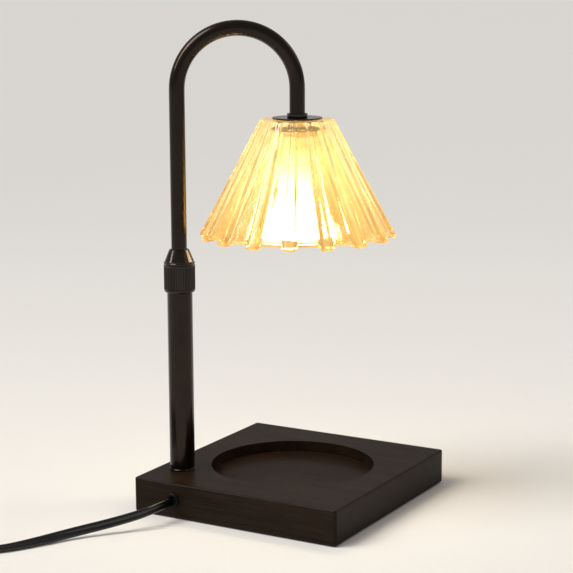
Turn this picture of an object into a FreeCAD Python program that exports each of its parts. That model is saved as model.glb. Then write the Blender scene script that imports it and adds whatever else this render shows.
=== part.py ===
import FreeCAD, Part
import math
import os
import re

import Sketcher
from FreeCAD import Placement, Rotation, Vector

# Candle warmer lamp in millimetres. The origin is the centre of the base's underside on the table,
# +Z is up, and the cord leaves the front face, which looks along -Y.

doc = FreeCAD.newDocument("candle_warmer_lamp")
sheet = doc.addObject("Spreadsheet::Sheet", "dims")

DIMENSIONS = [
    # The wooden base
    ("base_width", 150.0), ("base_depth", 158.0), ("base_thickness", 22.8), ("foot_stand", 0.8),
    ("base_corner", 2.0), ("base_edge", 1.0), ("recess_radius", 54.7), ("recess_depth", 7.5),
    ("foot_radius", 6.0), ("foot_inset", 14.0),
    ("pocket_side", 9.0), ("pocket_width", 36.0), ("pocket_wall", 9.0), ("pocket_length", 56.0),
    ("pocket_depth", 10.8), ("inlet_depth", 14.8), ("inlet_length", 24.0),
    ("inlet_width", 32.0),
    ("cover_margin", 5.0), ("cover_thickness", 1.6), ("cover_screw_inset", 2.5),
    ("screw_radius", 1.3), ("screw_head_radius", 2.2), ("screw_head_height", 0.8),
    ("cover_screw_length", 8.0),
    # Clearances: a seat, a turning or sliding fit, and a gap that only keeps two pieces apart
    ("seat_gap", 0.02), ("running_gap", 0.06), ("free_gap", 0.3),
    # The pole and its clamp
    ("pole_from_side", 16.8), ("pole_from_front", 32.4), ("pole_radius", 8.3), ("pole_wall", 1.5),
    ("pole_height", 133.0), ("plug_flange", 1.4), ("plug_shank", 10.0), ("plug_overhang", 0.15),
    ("stud_radius", 5.0), ("stud_bore", 3.2), ("stud_below", 6.0), ("stud_above", 8.0),
    ("washer_radius", 9.0), ("washer_thickness", 1.5), ("nut_flats", 14.0), ("nut_thickness", 3.5),
    ("nut_recess_radius", 10.5),
    ("collar_below", 14.0), ("collar_knurl", 20.0), ("collar_cone", 8.1), ("collar_radius", 10.25),
    ("collar_top_radius", 6.45), ("collar_bevel", 0.9), ("knurl_count", 54), ("knurl_deep", 0.4),
    ("sleeve_flange", 1.6), ("sleeve_head", 6.5), ("sleeve_tail", 16.0), ("sleeve_top_radius", 6.3),
    ("sleeve_slot", 1.2),
    # The crook tube
    ("arch_radius", 39.2), ("arch_tube_radius", 5.1), ("arch_wall", 1.2), ("arch_bottom", 92.0),
    ("arch_spring", 275.5), ("arch_angle", 38.67),
    ("guide_height", 10.0), ("clip_thickness", 1.2), ("clip_radius", 6.3),
    ("bush_flange", 1.6), ("bush_shank", 8.0), ("bush_bore", 2.2),
    # The head
    ("disc_top", 256.8), ("disc_radius", 16.5), ("disc_thickness", 1.0),
    ("neck_radius", 6.85), ("neck_height", 2.6),
    ("nipple_radius", 3.8), ("nipple_bore", 2.7), ("nipple_above", 11.0), ("nipple_below", 13.6),
    ("glass_plate", 7.8), ("glass_top_radius", 23.6), ("glass_rim_radius", 62.6),
    ("glass_height", 77.5), ("glass_inner_top", 17.4), ("glass_inner_rim", 56.6),
    ("glass_hole", 4.3), ("lobe_count", 16), ("lobe_phase", 1.9), ("rib_share", 0.38),
    ("rib_rise", 3.0), ("rim_notch", 2.2), ("shoulder_chamfer", 1.4),
    ("gasket_radius", 12.0), ("gasket_thickness", 1.2),
    ("ring_nut_radius", 12.0), ("ring_nut_height", 3.0),
    ("holder_cap_radius", 14.0), ("holder_cap_height", 7.0), ("holder_wall", 1.6),
    ("holder_body_height", 12.0), ("holder_body_radius", 13.4),
    ("pin_circle", 5.0), ("pin_radius", 1.6), ("pin_head_radius", 2.3), ("pin_length", 6.7),
    ("pin_head_height", 1.8), ("pin_slot_radius", 2.7), ("pin_slot_depth", 7.5),
    ("twist_angle", 35.0), ("contact_thickness", 0.8),
    ("bulb_length", 45.0), ("bulb_neck_radius", 13.2), ("bulb_neck_length", 17.0),
    ("bulb_rim_radius", 25.0), ("bulb_wall", 1.4), ("lens_thickness", 2.0), ("lens_rim", 1.6),
    # The leads inside
    ("lead_radius", 1.8), ("lead_bend", 4.7), ("lead_level", 4.9), ("lead_turn", 5.35),
    ("cord_radius", 3.1), ("cord_from_pole", 13.1), ("cord_level", 12.4),
    ("clamp_length", 17.0), ("clamp_width", 7.0), ("clamp_thickness", 1.6), ("clamp_from_front", 12.8),
    ("clamp_screw_sunk", 3.0), ("clamp_screw_offset", 5.6),
    ("block_width", 14.0), ("block_length", 15.0), ("block_height", 7.6), ("block_from_front", 40.0),
    ("block_screw_radius", 1.7),
    ("bushing_radius", 4.9), ("bushing_proud", 1.6), ("bushing_shank_radius", 4.2),
    # The coil of cord, its dimmer and its plug
    ("coil_aside", -169.9), ("coil_ahead", -68.4), ("coil_radius", 44.0), ("coil_pitch", 6.8),
    ("coil_turns", 3.0), ("layer_step", 6.8), ("coil_bed", 0.3),
    ("dimmer_length", 50.0), ("dimmer_width", 27.0), ("dimmer_height", 16.4),
    ("dimmer_wall", 1.8), ("dimmer_corner", 6.0), ("wheel_radius", 12.5), ("wheel_thickness", 5.0),
    ("wheel_offset", 4.4), ("wheel_pin_radius", 2.0), ("dimmer_screw_offset", 19.0),
    ("end_boot", 4.0),
    ("plug_width", 24.0), ("plug_height", 20.0), ("plug_length", 26.0),
    ("blade_length", 17.0), ("blade_width", 6.4), ("blade_thick", 1.6), ("blade_spacing", 12.7),
    ("blade_sunk", 6.0),
]
for row, (name, size) in enumerate(DIMENSIONS, start=1):
    sheet.set(f"A{row}", name)
    sheet.set(f"B{row}", str(size))
    sheet.setAlias(f"B{row}", name)
doc.recompute()


# Places measured from the block's own sides, so that they follow its size
PLACES = {
    "pocket_left": "(pocket_side - base_width / 2)",
    "pocket_right": "(pocket_left + pocket_width)",
    "pocket_front": "(pocket_wall - base_depth / 2)",
    "pocket_back": "(pocket_front + pocket_length)",
    "inlet_back": "(pocket_front + inlet_length)",
    "inlet_right": "(pocket_left + inlet_width)",
    "pole_x": "(pole_from_side - base_width / 2)",
    "pole_y": "(pole_from_front - base_depth / 2)",
    "cord_x": "(pole_x + cord_from_pole)",
    "clamp_y": "(clamp_from_front - base_depth / 2)",
    "block_front": "(block_from_front - base_depth / 2)",
    "outlet_y": "(0 - base_depth / 2 - bushing_proud)",
    "coil_x": "(cord_x + coil_aside)",
    "coil_y": "(outlet_y + coil_ahead)",
}


def words_in(names):
    """A pattern that finds whole names."""
    return r"\b(" + "|".join(names) + r")\b"


def spelled(expression):
    """An expression with each place written out in the sheet's own names."""
    text = str(expression)
    while re.search(words_in(PLACES), text):
        text = re.sub(words_in(PLACES), lambda found: PLACES[found.group(1)], text)
    return text


def number(expression):
    """The value of an expression in the sheet's names, in millimetres or degrees."""
    answer = sheet.evalExpression(spelled(expression))
    return float(getattr(answer, "Value", answer))


def named(expression):
    """An expression on the sheet's own names, written for another object: each name gets dims. before it."""
    return re.sub(words_in(name for name, _ in DIMENSIONS), r"dims.\1", spelled(expression))


# Levels and places that several pieces share, as expressions on the sheet
BASE_TOP = "(foot_stand + base_thickness)"
POCKET_TOP = "(foot_stand + pocket_depth)"
INLET_TOP = "(foot_stand + inlet_depth)"
POLE_FOOT = f"({BASE_TOP} + plug_flange)"
POLE_TOP = f"({POLE_FOOT} + pole_height)"
COLLAR_BOTTOM = f"({POLE_TOP} - collar_below)"
COLLAR_SHOULDER = f"({COLLAR_BOTTOM} + collar_knurl)"
COLLAR_TOP = f"({COLLAR_SHOULDER} + collar_cone)"
GLASS_TOP = "(disc_top - disc_thickness)"
PLATE_BOTTOM = f"({GLASS_TOP} - glass_plate)"
GASKET_BOTTOM = f"({PLATE_BOTTOM} - gasket_thickness)"
CAP_TOP = f"({GASKET_BOTTOM} - ring_nut_height)"
CAP_BOTTOM = f"({CAP_TOP} - holder_cap_height)"
HOLDER_BOTTOM = f"({CAP_BOTTOM} - holder_body_height)"
BULB_TOP = f"({HOLDER_BOTTOM} - free_gap)"
BULB_BOTTOM = f"({BULB_TOP} - bulb_length)"
SHADE_X = "(pole_x + 2 * arch_radius * cos(arch_angle * 1deg))"
SHADE_Y = "(pole_y + 2 * arch_radius * sin(arch_angle * 1deg))"
NUT_TOP = f"({INLET_TOP} - washer_thickness)"
NUT_BOTTOM = f"({NUT_TOP} - nut_thickness)"

parts = []


def bind(target, prop, expression):
    """Tie one property of an object to the sheet."""
    target.setExpression(prop, named(expression))


def part_object(kind, label):
    """A new object that is one sub-part, under its own label."""
    made = doc.addObject(kind, label)
    made.Label = label
    parts.append(made)
    return made


def place(made, x="0", y="0", z="0", turn=None):
    """Put a sub-part at a place of the sheet, turned about the vertical."""
    made.Placement = Placement(Vector(1, 1, 1), Rotation(Vector(0, 0, 1), 10 if turn else 0))
    for axis, expression in zip("xyz", (x, y, z)):
        bind(made, f"Placement.Base.{axis}", expression)
    if turn:
        bind(made, "Placement.Rotation.Angle", turn)


def new_sketch(body, role, name, level="0"):
    """A sketch on one of the body's own origin planes, raised to a level."""
    plane = next(f for f in body.Origin.OriginFeatures if f.Role == role)
    made = body.newObject("Sketcher::SketchObject", name)
    made.AttachmentSupport = [(plane, "")]
    made.MapMode = "FlatFace"
    if level != "0":
        bind(made, "AttachmentOffset.Base.z", level)
    return made


def constrain(made, kind, *where, size=None):
    """Add a constraint, and tie its value to the sheet where it has one."""
    if size is None:
        return made.addConstraint(Sketcher.Constraint(kind, *where))
    start = number(size)
    index = made.addConstraint(Sketcher.Constraint(kind, *where, start))
    made.setExpression(f"Constraints[{index}]", named(size))
    return index


def outline(made, corners):
    """A closed outline of straight lines; each corner is a pair of expressions."""
    points = [Vector(number(a), number(b), 0) for a, b in corners]
    count = len(points)
    first = made.GeometryCount
    for i in range(count):
        made.addGeometry(Part.LineSegment(points[i], points[(i + 1) % count]), False)
    for i in range(count):
        constrain(made, "Coincident", first + i, 2, first + (i + 1) % count, 1)
    for i, (a, b) in enumerate(corners):
        constrain(made, "DistanceX", -1, 1, first + i, 1, size=a)
        constrain(made, "DistanceY", -1, 1, first + i, 1, size=b)


def ring(made, radius, x="0", y="0"):
    """A circle about a point; both are expressions."""
    centre = Vector(number(x), number(y), 0)
    index = made.addGeometry(Part.Circle(centre, Vector(0, 0, 1), number(radius)), False)
    constrain(made, "DistanceX", -1, 1, index, 3, size=x)
    constrain(made, "DistanceY", -1, 1, index, 3, size=y)
    constrain(made, "Radius", index, size=radius)


def rectangle(made, left, front, right, back):
    """A rectangle between two corners."""
    outline(made, [(left, front), (right, front), (right, back), (left, back)])


def pad(body, made, length, name):
    """Raise a sketch by a length."""
    feature = body.newObject("PartDesign::Pad", name)
    feature.Profile = made
    bind(feature, "Length", length)
    made.Visibility = False
    return feature


def pocket(body, made, length, name, upward=True):
    """Cut a sketch into the body by a length, upward or downward."""
    feature = body.newObject("PartDesign::Pocket", name)
    feature.Profile = made
    feature.Reversed = upward
    bind(feature, "Length", length)
    return feature


def turned(label, corners, x="0", y="0"):
    """A body of revolution about a vertical axis, from its half profile as (radius, level) pairs."""
    body = part_object("PartDesign::Body", label)
    made = new_sketch(body, "XZ_Plane", label + "_profile")
    outline(made, corners)
    feature = body.newObject("PartDesign::Revolution", label + "_turned")
    feature.Profile = made
    feature.ReferenceAxis = (made, ["V_Axis"])
    feature.Angle = 360
    place(body, x, y)
    return body


def tube_profile(inner, outer, low, high):
    """The half profile of a plain ring or tube."""
    return [(inner, low), (outer, low), (outer, high), (inner, high)]


def plain_feature(label, shape):
    """A sub-part whose shape is worked out below from the sheet's values."""
    made = part_object("Part::Feature", label)
    made.Shape = shape
    return made


def cylinder(radius, low, high, x=0.0, y=0.0):
    """An upright cylinder from one level to another."""
    return Part.makeCylinder(radius, high - low, Vector(x, y, low))


def prism(radius, low, high, x=0.0, y=0.0, sides=8):
    """An upright bar with flat sides inside a circle, for what lies out of sight."""
    turns = [2 * math.pi * (k + 0.5) / sides for k in range(sides)]
    points = [Vector(x + radius * math.cos(t), y + radius * math.sin(t), low) for t in turns]
    return Part.Face(Part.makePolygon(points + points[:1])).extrude(Vector(0, 0, high - low))


# Flat sides of the leads that lie out of sight, and of the wound cord
LEAD_SIDES = 6
COIL_SIDES = 6
RUN_SIDES = 10

# The wooden base and what lies in it
FEET = [(sx, sy) for sx in (-1, 1) for sy in (-1, 1)]
FOOT_X = "(base_width / 2 - foot_inset)"
FOOT_Y = "(base_depth / 2 - foot_inset)"


def cover_spots():
    """The four cover screws' centres, as expressions."""
    gap = "(cover_margin - cover_screw_inset)"
    return [(x, y) for x in (f"(pocket_left - {gap})", f"(pocket_right + {gap})")
            for y in (f"(pocket_front - {gap})", f"(pocket_back + {gap})")]


def foot_places():
    """The four feet's centres."""
    return [(sx * number(FOOT_X), sy * number(FOOT_Y)) for sx, sy in FEET]


def base_block():
    """The wooden block with its candle recess, wiring pocket, pole hole and cord hole."""
    body = part_object("PartDesign::Body", "base_block")
    made = new_sketch(body, "XY_Plane", "base_plan", "foot_stand")
    rectangle(made, "-base_width / 2", "-base_depth / 2", "base_width / 2", "base_depth / 2")
    block = pad(body, made, "base_thickness", "base_blank")
    doc.recompute()
    upright = [f"Edge{i}" for i, e in enumerate(block.Shape.Edges, 1)
               if abs(e.tangentAt(e.FirstParameter).z) > 0.99]
    corners = body.newObject("PartDesign::Fillet", "base_corners")
    corners.Base = (block, upright)
    bind(corners, "Radius", "base_corner")
    doc.recompute()
    level = number("foot_stand")
    top = number(BASE_TOP)
    rims = [f"Edge{i}" for i, e in enumerate(corners.Shape.Edges, 1)
            if all(abs(v.Z - level) < 1e-6 for v in e.Vertexes)
            or all(abs(v.Z - top) < 1e-6 for v in e.Vertexes)]
    edges = body.newObject("PartDesign::Fillet", "base_edges")
    edges.Base = (corners, rims)
    bind(edges, "Radius", "base_edge")
    cuts = [
        ("candle_recess", f"{BASE_TOP} - recess_depth", "recess_depth",
         lambda s: ring(s, "recess_radius")),
        ("cover_rebate", "foot_stand", "cover_thickness",
         lambda s: rectangle(s, "pocket_left - cover_margin", "pocket_front - cover_margin",
                             "pocket_right + cover_margin", "pocket_back + cover_margin")),
        ("wiring_pocket", "foot_stand", "pocket_depth",
         lambda s: rectangle(s, "pocket_left", "pocket_front", "pocket_right", "pocket_back")),
        ("inlet_pocket", "foot_stand", "inlet_depth",
         lambda s: rectangle(s, "pocket_left", "pocket_front", "inlet_right", "inlet_back")),
        ("nut_recess", "foot_stand", "inlet_depth",
         lambda s: ring(s, "nut_recess_radius", "pole_x", "pole_y")),
        ("stud_hole", "foot_stand", "base_thickness",
         lambda s: ring(s, "stud_radius + free_gap", "pole_x", "pole_y")),
    ]
    for name, level, depth, draw in cuts:
        made = new_sketch(body, "XY_Plane", name + "_plan", level)
        draw(made)
        pocket(body, made, depth, name)
    made = new_sketch(body, "XY_Plane", "screw_holes_plan", "foot_stand")
    for x, y in cover_spots():
        ring(made, "screw_radius + seat_gap", x, y)
    pocket(body, made, "cover_screw_length", "screw_holes")
    made = new_sketch(body, "XY_Plane", "clamp_holes_plan", INLET_TOP)
    for side in (-1, 1):
        ring(made, "screw_radius + seat_gap", f"cord_x + {side} * clamp_screw_offset", "clamp_y")
    pocket(body, made, "clamp_screw_sunk", "clamp_holes")
    made = new_sketch(body, "XZ_Plane", "cord_hole_plan", "base_depth / 2")
    ring(made, "bushing_shank_radius + seat_gap", "cord_x", "cord_level")
    pocket(body, made, "base_depth / 2 + pocket_front + 1", "cord_hole", False)


def base_fittings():
    """What is fixed to the block's underside: the cover, its screws and the feet."""
    spots = cover_spots()
    cover = part_object("PartDesign::Body", "base_cover")
    made = new_sketch(cover, "XY_Plane", "cover_plan", "foot_stand")
    rectangle(made, "pocket_left - cover_margin + free_gap", "pocket_front - cover_margin + free_gap",
              "pocket_right + cover_margin - free_gap", "pocket_back + cover_margin - free_gap")
    pad(cover, made, "cover_thickness", "cover_sheet")
    made = new_sketch(cover, "XY_Plane", "cover_heads_plan", "foot_stand")
    for x, y in spots:
        ring(made, "screw_head_radius + seat_gap", x, y)
    pocket(cover, made, "screw_head_height", "cover_heads")
    made = new_sketch(cover, "XY_Plane", "cover_holes_plan", "foot_stand")
    for x, y in spots:
        ring(made, "screw_radius + seat_gap", x, y)
    pocket(cover, made, "cover_thickness", "cover_holes")
    screws = [screw_up(number(x), number(y), number("foot_stand"), number("cover_screw_length"))
              for x, y in spots]
    plain_feature("cover_screws", Part.Compound(screws))
    feet = []
    for x, y in foot_places():
        foot = cylinder(number("foot_radius"), 0, number("foot_stand"), x, y)
        under = [e for e in foot.Edges if abs(e.CenterOfMass.z) < 1e-6]
        feet.append(foot.makeChamfer(0.3, under))
    plain_feature("rubber_feet", Part.Compound(feet))


def screw_up(x, y, low, length):
    """A countersunk screw driven upward: its flat head at the bottom, then its shank."""
    head = cylinder(number("screw_head_radius"), low, low + number("screw_head_height"), x, y)
    shank = prism(number("screw_radius"), low, low + length, x, y)
    return head.fuse(shank).removeSplitter()


def hexagon(made, flats, x="0", y="0"):
    """A hexagon outline between two opposite flats' distance."""
    spots = []
    for i in range(6):
        turn = f"{60 * i + 30}deg"
        spots.append((f"{x} + {flats} / sqrt(3) * cos({turn})", f"{y} + {flats} / sqrt(3) * sin({turn})"))
    outline(made, spots)


def pole():
    """The fixed pole: its foot plug, stud, washer, nut, tube and split sleeve."""
    bore = "(pole_radius - pole_wall)"
    turned("foot_plug", [
        ("stud_radius + seat_gap", BASE_TOP),
        ("pole_radius + plug_overhang - 0.4", BASE_TOP),
        ("pole_radius + plug_overhang", f"{BASE_TOP} + 0.4"),
        ("pole_radius + plug_overhang", f"{POLE_FOOT} - 0.4"),
        ("pole_radius + plug_overhang - 0.4", POLE_FOOT),
        (f"{bore} - seat_gap", POLE_FOOT),
        (f"{bore} - seat_gap", f"{POLE_FOOT} + plug_shank"),
        ("stud_radius + seat_gap", f"{POLE_FOOT} + plug_shank"),
    ], "pole_x", "pole_y")
    turned("pole_stud", tube_profile("stud_bore", "stud_radius", f"{NUT_BOTTOM} - 1",
                                     f"{POLE_FOOT} + stud_above"), "pole_x", "pole_y")
    turned("stud_washer", tube_profile("stud_radius + free_gap", "washer_radius", NUT_TOP, INLET_TOP),
           "pole_x", "pole_y")
    nut = part_object("PartDesign::Body", "stud_nut")
    made = new_sketch(nut, "XY_Plane", "stud_nut_plan", NUT_BOTTOM)
    hexagon(made, "nut_flats")
    ring(made, "stud_radius + seat_gap")
    pad(nut, made, "nut_thickness", "stud_nut_pad")
    place(nut, "pole_x", "pole_y")
    turned("lower_tube", [
        (bore, POLE_FOOT), ("pole_radius", POLE_FOOT), ("pole_radius", f"{POLE_TOP} - 0.6"),
        ("pole_radius - 0.6", POLE_TOP), (bore, POLE_TOP),
    ], "pole_x", "pole_y")
    sleeve = turned("split_sleeve", [
        ("arch_tube_radius + running_gap", f"{POLE_TOP} - sleeve_tail"),
        (f"{bore} - seat_gap", f"{POLE_TOP} - sleeve_tail"),
        (f"{bore} - seat_gap", POLE_TOP),
        ("pole_radius - 0.6", POLE_TOP),
        ("pole_radius - 0.6", f"{POLE_TOP} + sleeve_flange"),
        ("sleeve_top_radius", f"{POLE_TOP} + sleeve_flange + sleeve_head"),
        ("arch_tube_radius + running_gap", f"{POLE_TOP} + sleeve_flange + sleeve_head"),
    ], "pole_x", "pole_y")
    made = new_sketch(sleeve, "XY_Plane", "sleeve_slots_plan",
                      f"{POLE_TOP} + sleeve_flange + sleeve_head")
    half = "sleeve_slot / 2"
    reach = "(pole_radius + 1)"
    start = "(arch_tube_radius - 1)"
    rectangle(made, start, f"-{half}", reach, half)
    rectangle(made, f"-{reach}", f"-{half}", f"-{start}", half)
    pocket(sleeve, made, "sleeve_head", "sleeve_slots", False)


def collar_nut():
    """The knurled nut that closes the split sleeve on the crook tube."""
    inside = "(pole_radius + running_gap)"
    head_gap = "free_gap"
    nut = turned("collar_nut", [
        (inside, COLLAR_BOTTOM),
        ("collar_radius - collar_bevel", COLLAR_BOTTOM),
        ("collar_radius", f"{COLLAR_BOTTOM} + collar_bevel"),
        ("collar_radius", f"{COLLAR_SHOULDER} - 0.5"),
        ("collar_radius - 0.5", COLLAR_SHOULDER),
        ("collar_top_radius", f"{COLLAR_TOP} - 0.3"),
        ("collar_top_radius - 0.3", COLLAR_TOP),
        (f"arch_tube_radius + {head_gap}", COLLAR_TOP),
        (f"arch_tube_radius + {head_gap}", f"{POLE_TOP} + sleeve_flange + sleeve_head + {head_gap}"),
        (f"sleeve_top_radius + {head_gap}", f"{POLE_TOP} + sleeve_flange + sleeve_head + {head_gap}"),
        (f"pole_radius - 0.6 + {head_gap}", f"{POLE_TOP} + sleeve_flange + {head_gap}"),
        (inside, f"{POLE_TOP} + sleeve_flange + {head_gap}"),
    ], "pole_x", "pole_y")
    made = new_sketch(nut, "XY_Plane", "knurl_plan", f"{COLLAR_SHOULDER} - 1.2")
    outline(made, [("collar_radius + 0.3", "-0.5"), ("collar_radius + 0.3", "0.5"),
                   ("collar_radius - knurl_deep", "0")])
    groove = pocket(nut, made, "collar_knurl - 3", "knurl_groove", False)
    doc.recompute()
    pattern = nut.newObject("PartDesign::PolarPattern", "knurl")
    pattern.Originals = [groove]
    axis = next(f for f in nut.Origin.OriginFeatures if f.Role == "Z_Axis")
    pattern.Axis = (axis, [""])
    pattern.Angle = 360
    bind(pattern, "Occurrences", "knurl_count")
    nut.Tip = pattern


def arch_frame(x, z):
    """A point of the crook's own plane, in the part's frame."""
    turn = math.radians(number("arch_angle"))
    return Vector(number("pole_x") + x * math.cos(turn), number("pole_y") + x * math.sin(turn), z)


def arch_path(low, end):
    """The crook's centre line from a level in the pole, over the bend, down to a level at the head."""
    radius, spring = number("arch_radius"), number("arch_spring")
    left, top, right = arch_frame(0, spring), arch_frame(radius, spring + radius), arch_frame(2 * radius, spring)
    return Part.Wire([
        Part.LineSegment(arch_frame(0, low), left).toShape(),
        Part.Arc(left, top, right).toShape(),
        Part.LineSegment(right, arch_frame(2 * radius, end)).toShape(),
    ])


def tube_along(path, radius, sides=0):
    """A bar along a wire, from its first point: round, or with that many flat sides."""
    edge = path.OrderedEdges[0]
    start, along = edge.valueAt(edge.FirstParameter), edge.tangentAt(edge.FirstParameter)
    if not sides:
        section = Part.Wire(Part.Circle(start, along, radius).toShape())
        return path.makePipeShell([section], True, False)
    across = along.cross(Vector(0, 0, 1) if abs(along.z) < 0.9 else Vector(1, 0, 0)).normalize()
    up = across.cross(along)
    turns = [2 * math.pi * (k + 0.5) / sides for k in range(sides)]
    points = [start + across * (radius * math.cos(t)) + up * (radius * math.sin(t)) for t in turns]
    return path.makePipeShell([Part.makePolygon(points + points[:1])], True, False)


def crook():
    """The bent tube in its own plane: a swept ring, turned to the head's direction."""
    body = part_object("PartDesign::Body", "arch_tube")
    spine = new_sketch(body, "XZ_Plane", "crook_line")
    radius, spring = number("arch_radius"), number("arch_spring")
    low, end = number("arch_bottom"), number("disc_top")
    spine.addGeometry(Part.LineSegment(Vector(0, low, 0), Vector(0, spring, 0)), False)
    spine.addGeometry(Part.ArcOfCircle(
        Part.Circle(Vector(radius, spring, 0), Vector(0, 0, 1), radius), 0, math.pi), False)
    spine.addGeometry(Part.LineSegment(Vector(2 * radius, spring, 0), Vector(2 * radius, end, 0)), False)
    constrain(spine, "Coincident", 0, 2, 1, 2)
    constrain(spine, "Coincident", 2, 1, 1, 1)
    for at, (x, y) in (((0, 1), ("0", "arch_bottom")), ((0, 2), ("0", "arch_spring")),
                       ((1, 3), ("arch_radius", "arch_spring")),
                       ((2, 1), ("2 * arch_radius", "arch_spring")),
                       ((2, 2), ("2 * arch_radius", "disc_top"))):
        constrain(spine, "DistanceY", -1, 1, *at, size=y)
        if at != (2, 1):
            constrain(spine, "DistanceX", -1, 1, *at, size=x)
    made = new_sketch(body, "XY_Plane", "crook_section", "arch_bottom")
    ring(made, "arch_tube_radius")
    ring(made, "arch_tube_radius - arch_wall")
    doc.recompute()
    sweep = body.newObject("PartDesign::AdditivePipe", "crook_sweep")
    sweep.Profile = made
    sweep.Spine = (spine, [])
    place(body, "pole_x", "pole_y", "0", "arch_angle * 1deg")


def crook_end():
    """What runs in the pole on the crook's lower end: the end bush, the sliding guide and its clip."""
    bore = "(pole_radius - pole_wall)"
    inside = "(arch_tube_radius - arch_wall)"
    turned("end_bush", [
        ("bush_bore", "arch_bottom - bush_flange"),
        ("arch_tube_radius + 1", "arch_bottom - bush_flange"),
        ("arch_tube_radius + 1", "arch_bottom"),
        (f"{inside} - seat_gap", "arch_bottom"),
        (f"{inside} - seat_gap", "arch_bottom + bush_shank"),
        ("bush_bore", "arch_bottom + bush_shank"),
    ], "pole_x", "pole_y")
    guide_low = "(arch_bottom + free_gap)"
    guide_high = f"({guide_low} + guide_height)"
    turned("guide_ring", tube_profile("arch_tube_radius + running_gap", f"{bore} - running_gap",
                                      guide_low, guide_high), "pole_x", "pole_y")
    turned("guide_clip", tube_profile("arch_tube_radius + seat_gap", "clip_radius",
                                      f"{guide_high} + free_gap",
                                      f"{guide_high} + free_gap + clip_thickness"), "pole_x", "pole_y")


def head():
    """The neck ring, disc, nipple, gasket and ring nut that hold the glass."""
    turned("neck_ring", [
        ("arch_tube_radius + seat_gap", "disc_top"), ("neck_radius - 0.4", "disc_top"),
        ("neck_radius", "disc_top + 0.4"), ("neck_radius", "disc_top + neck_height - 0.4"),
        ("neck_radius - 0.4", "disc_top + neck_height"),
        ("arch_tube_radius + seat_gap", "disc_top + neck_height"),
    ], SHADE_X, SHADE_Y)
    turned("head_disc", [
        ("nipple_radius + seat_gap", GLASS_TOP), ("disc_radius - 0.3", GLASS_TOP),
        ("disc_radius", f"{GLASS_TOP} + 0.3"), ("disc_radius", "disc_top - 0.3"),
        ("disc_radius - 0.3", "disc_top"), ("nipple_radius + seat_gap", "disc_top"),
    ], SHADE_X, SHADE_Y)
    turned("head_nipple", tube_profile("nipple_bore", "nipple_radius", "disc_top - 1 - nipple_below",
                                       "disc_top + nipple_above"), SHADE_X, SHADE_Y)
    turned("shade_gasket", tube_profile("nipple_radius + free_gap", "gasket_radius",
                                        GASKET_BOTTOM, PLATE_BOTTOM), SHADE_X, SHADE_Y)
    turned("shade_ring_nut", [
        ("nipple_radius + seat_gap", CAP_TOP), ("ring_nut_radius - 0.5", CAP_TOP),
        ("ring_nut_radius", f"{CAP_TOP} + 0.5"), ("ring_nut_radius", GASKET_BOTTOM),
        ("nipple_radius + seat_gap", GASKET_BOTTOM),
    ], SHADE_X, SHADE_Y)


def lobed_points(valley, rise, level, centre):
    """The shade's section: narrow ribs and wide, slightly hollow flutes, as the corners of straight facets."""
    count = int(number("lobe_count"))
    pitch = 2 * math.pi / count
    rib = pitch * number("rib_share")
    profile = [(-0.5, 0.35), (-0.22, 1.0), (0.22, 1.0), (0.5, 0.35)]
    spots = []
    for i in range(count):
        middle = i * pitch + math.radians(number("lobe_phase"))
        for along, share in profile:
            spots.append((middle + along * rib, valley + rise * share))
        hollow = middle + pitch / 2
        spots.append((hollow - (pitch - rib) * 0.2, valley))
        spots.append((hollow + (pitch - rib) * 0.2, valley))
    return [centre + Vector(r * math.cos(a), r * math.sin(a), level) for a, r in spots]


def lobed_solid(low_radius, low, high_radius, high, rise, centre):
    """A flat-sided solid between two like sections; the ribs' rise shrinks with the radius."""
    under = lobed_points(low_radius, rise, low, centre)
    over = lobed_points(high_radius, rise * high_radius / low_radius, high, centre)
    faces = [Part.Face(Part.makePolygon(ends + ends[:1])) for ends in (under, over)]
    for i in range(len(under)):
        k = (i + 1) % len(under)
        faces.append(Part.Face(Part.makePolygon([under[i], under[k], over[k], over[i], under[i]])))
    solid = Part.Solid(Part.Shell(faces))
    if solid.Volume < 0:
        solid.reverse()
    return solid


def glass_shade():
    """The fluted glass: an outer and an inner ruled body, a thick top plate and a notched rim."""
    centre = Vector(number(SHADE_X), number(SHADE_Y), 0)
    top, low = number(GLASS_TOP), number(GLASS_TOP) - number("glass_height")
    plate = number(PLATE_BOTTOM)
    chamfer = number("shoulder_chamfer")
    outer_top, outer_rim = number("glass_top_radius"), number("glass_rim_radius")
    rise = number("rib_rise")
    outer = lobed_solid(outer_rim, low, outer_top, top - chamfer, rise, centre)
    outer = outer.fuse(lobed_solid(outer_top, top - chamfer, outer_top - chamfer, top,
                                   rise * outer_top / outer_rim, centre))
    inner_rim, inner_top = number("glass_inner_rim"), number("glass_inner_top")
    past = 2.0
    below = inner_rim + (inner_rim - inner_top) / (plate - low) * past
    glass = outer.cut(lobed_solid(below, low - past, inner_top, plate, rise / 2, centre))
    glass = glass.cut(cylinder(number("glass_hole"), plate - 1, top + 1, centre.x, centre.y))
    count = int(number("lobe_count"))
    notch = number("rim_notch")
    half = outer_rim * math.sin(math.pi / count) * (1 - number("rib_share"))
    edge = [(-half, -1.0), (-half, 0.0), (-0.72 * half, notch), (0.72 * half, notch), (half, 0.0), (half, -1.0)]
    cutters = []
    for i in range(count):
        angle = (i + 0.5) * 2 * math.pi / count + math.radians(number("lobe_phase"))
        out, aside = Vector(math.cos(angle), math.sin(angle), 0), Vector(-math.sin(angle), math.cos(angle), 0)
        start = centre + out * (inner_rim - 10) + Vector(0, 0, low)
        spots = [start + aside * a + Vector(0, 0, z) for a, z in edge]
        cutters.append(Part.Face(Part.makePolygon(spots + spots[:1])).extrude(out * 30))
    glass = glass.cut(cutters)
    plain_feature("glass_shade", glass.removeSplitter())


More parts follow.
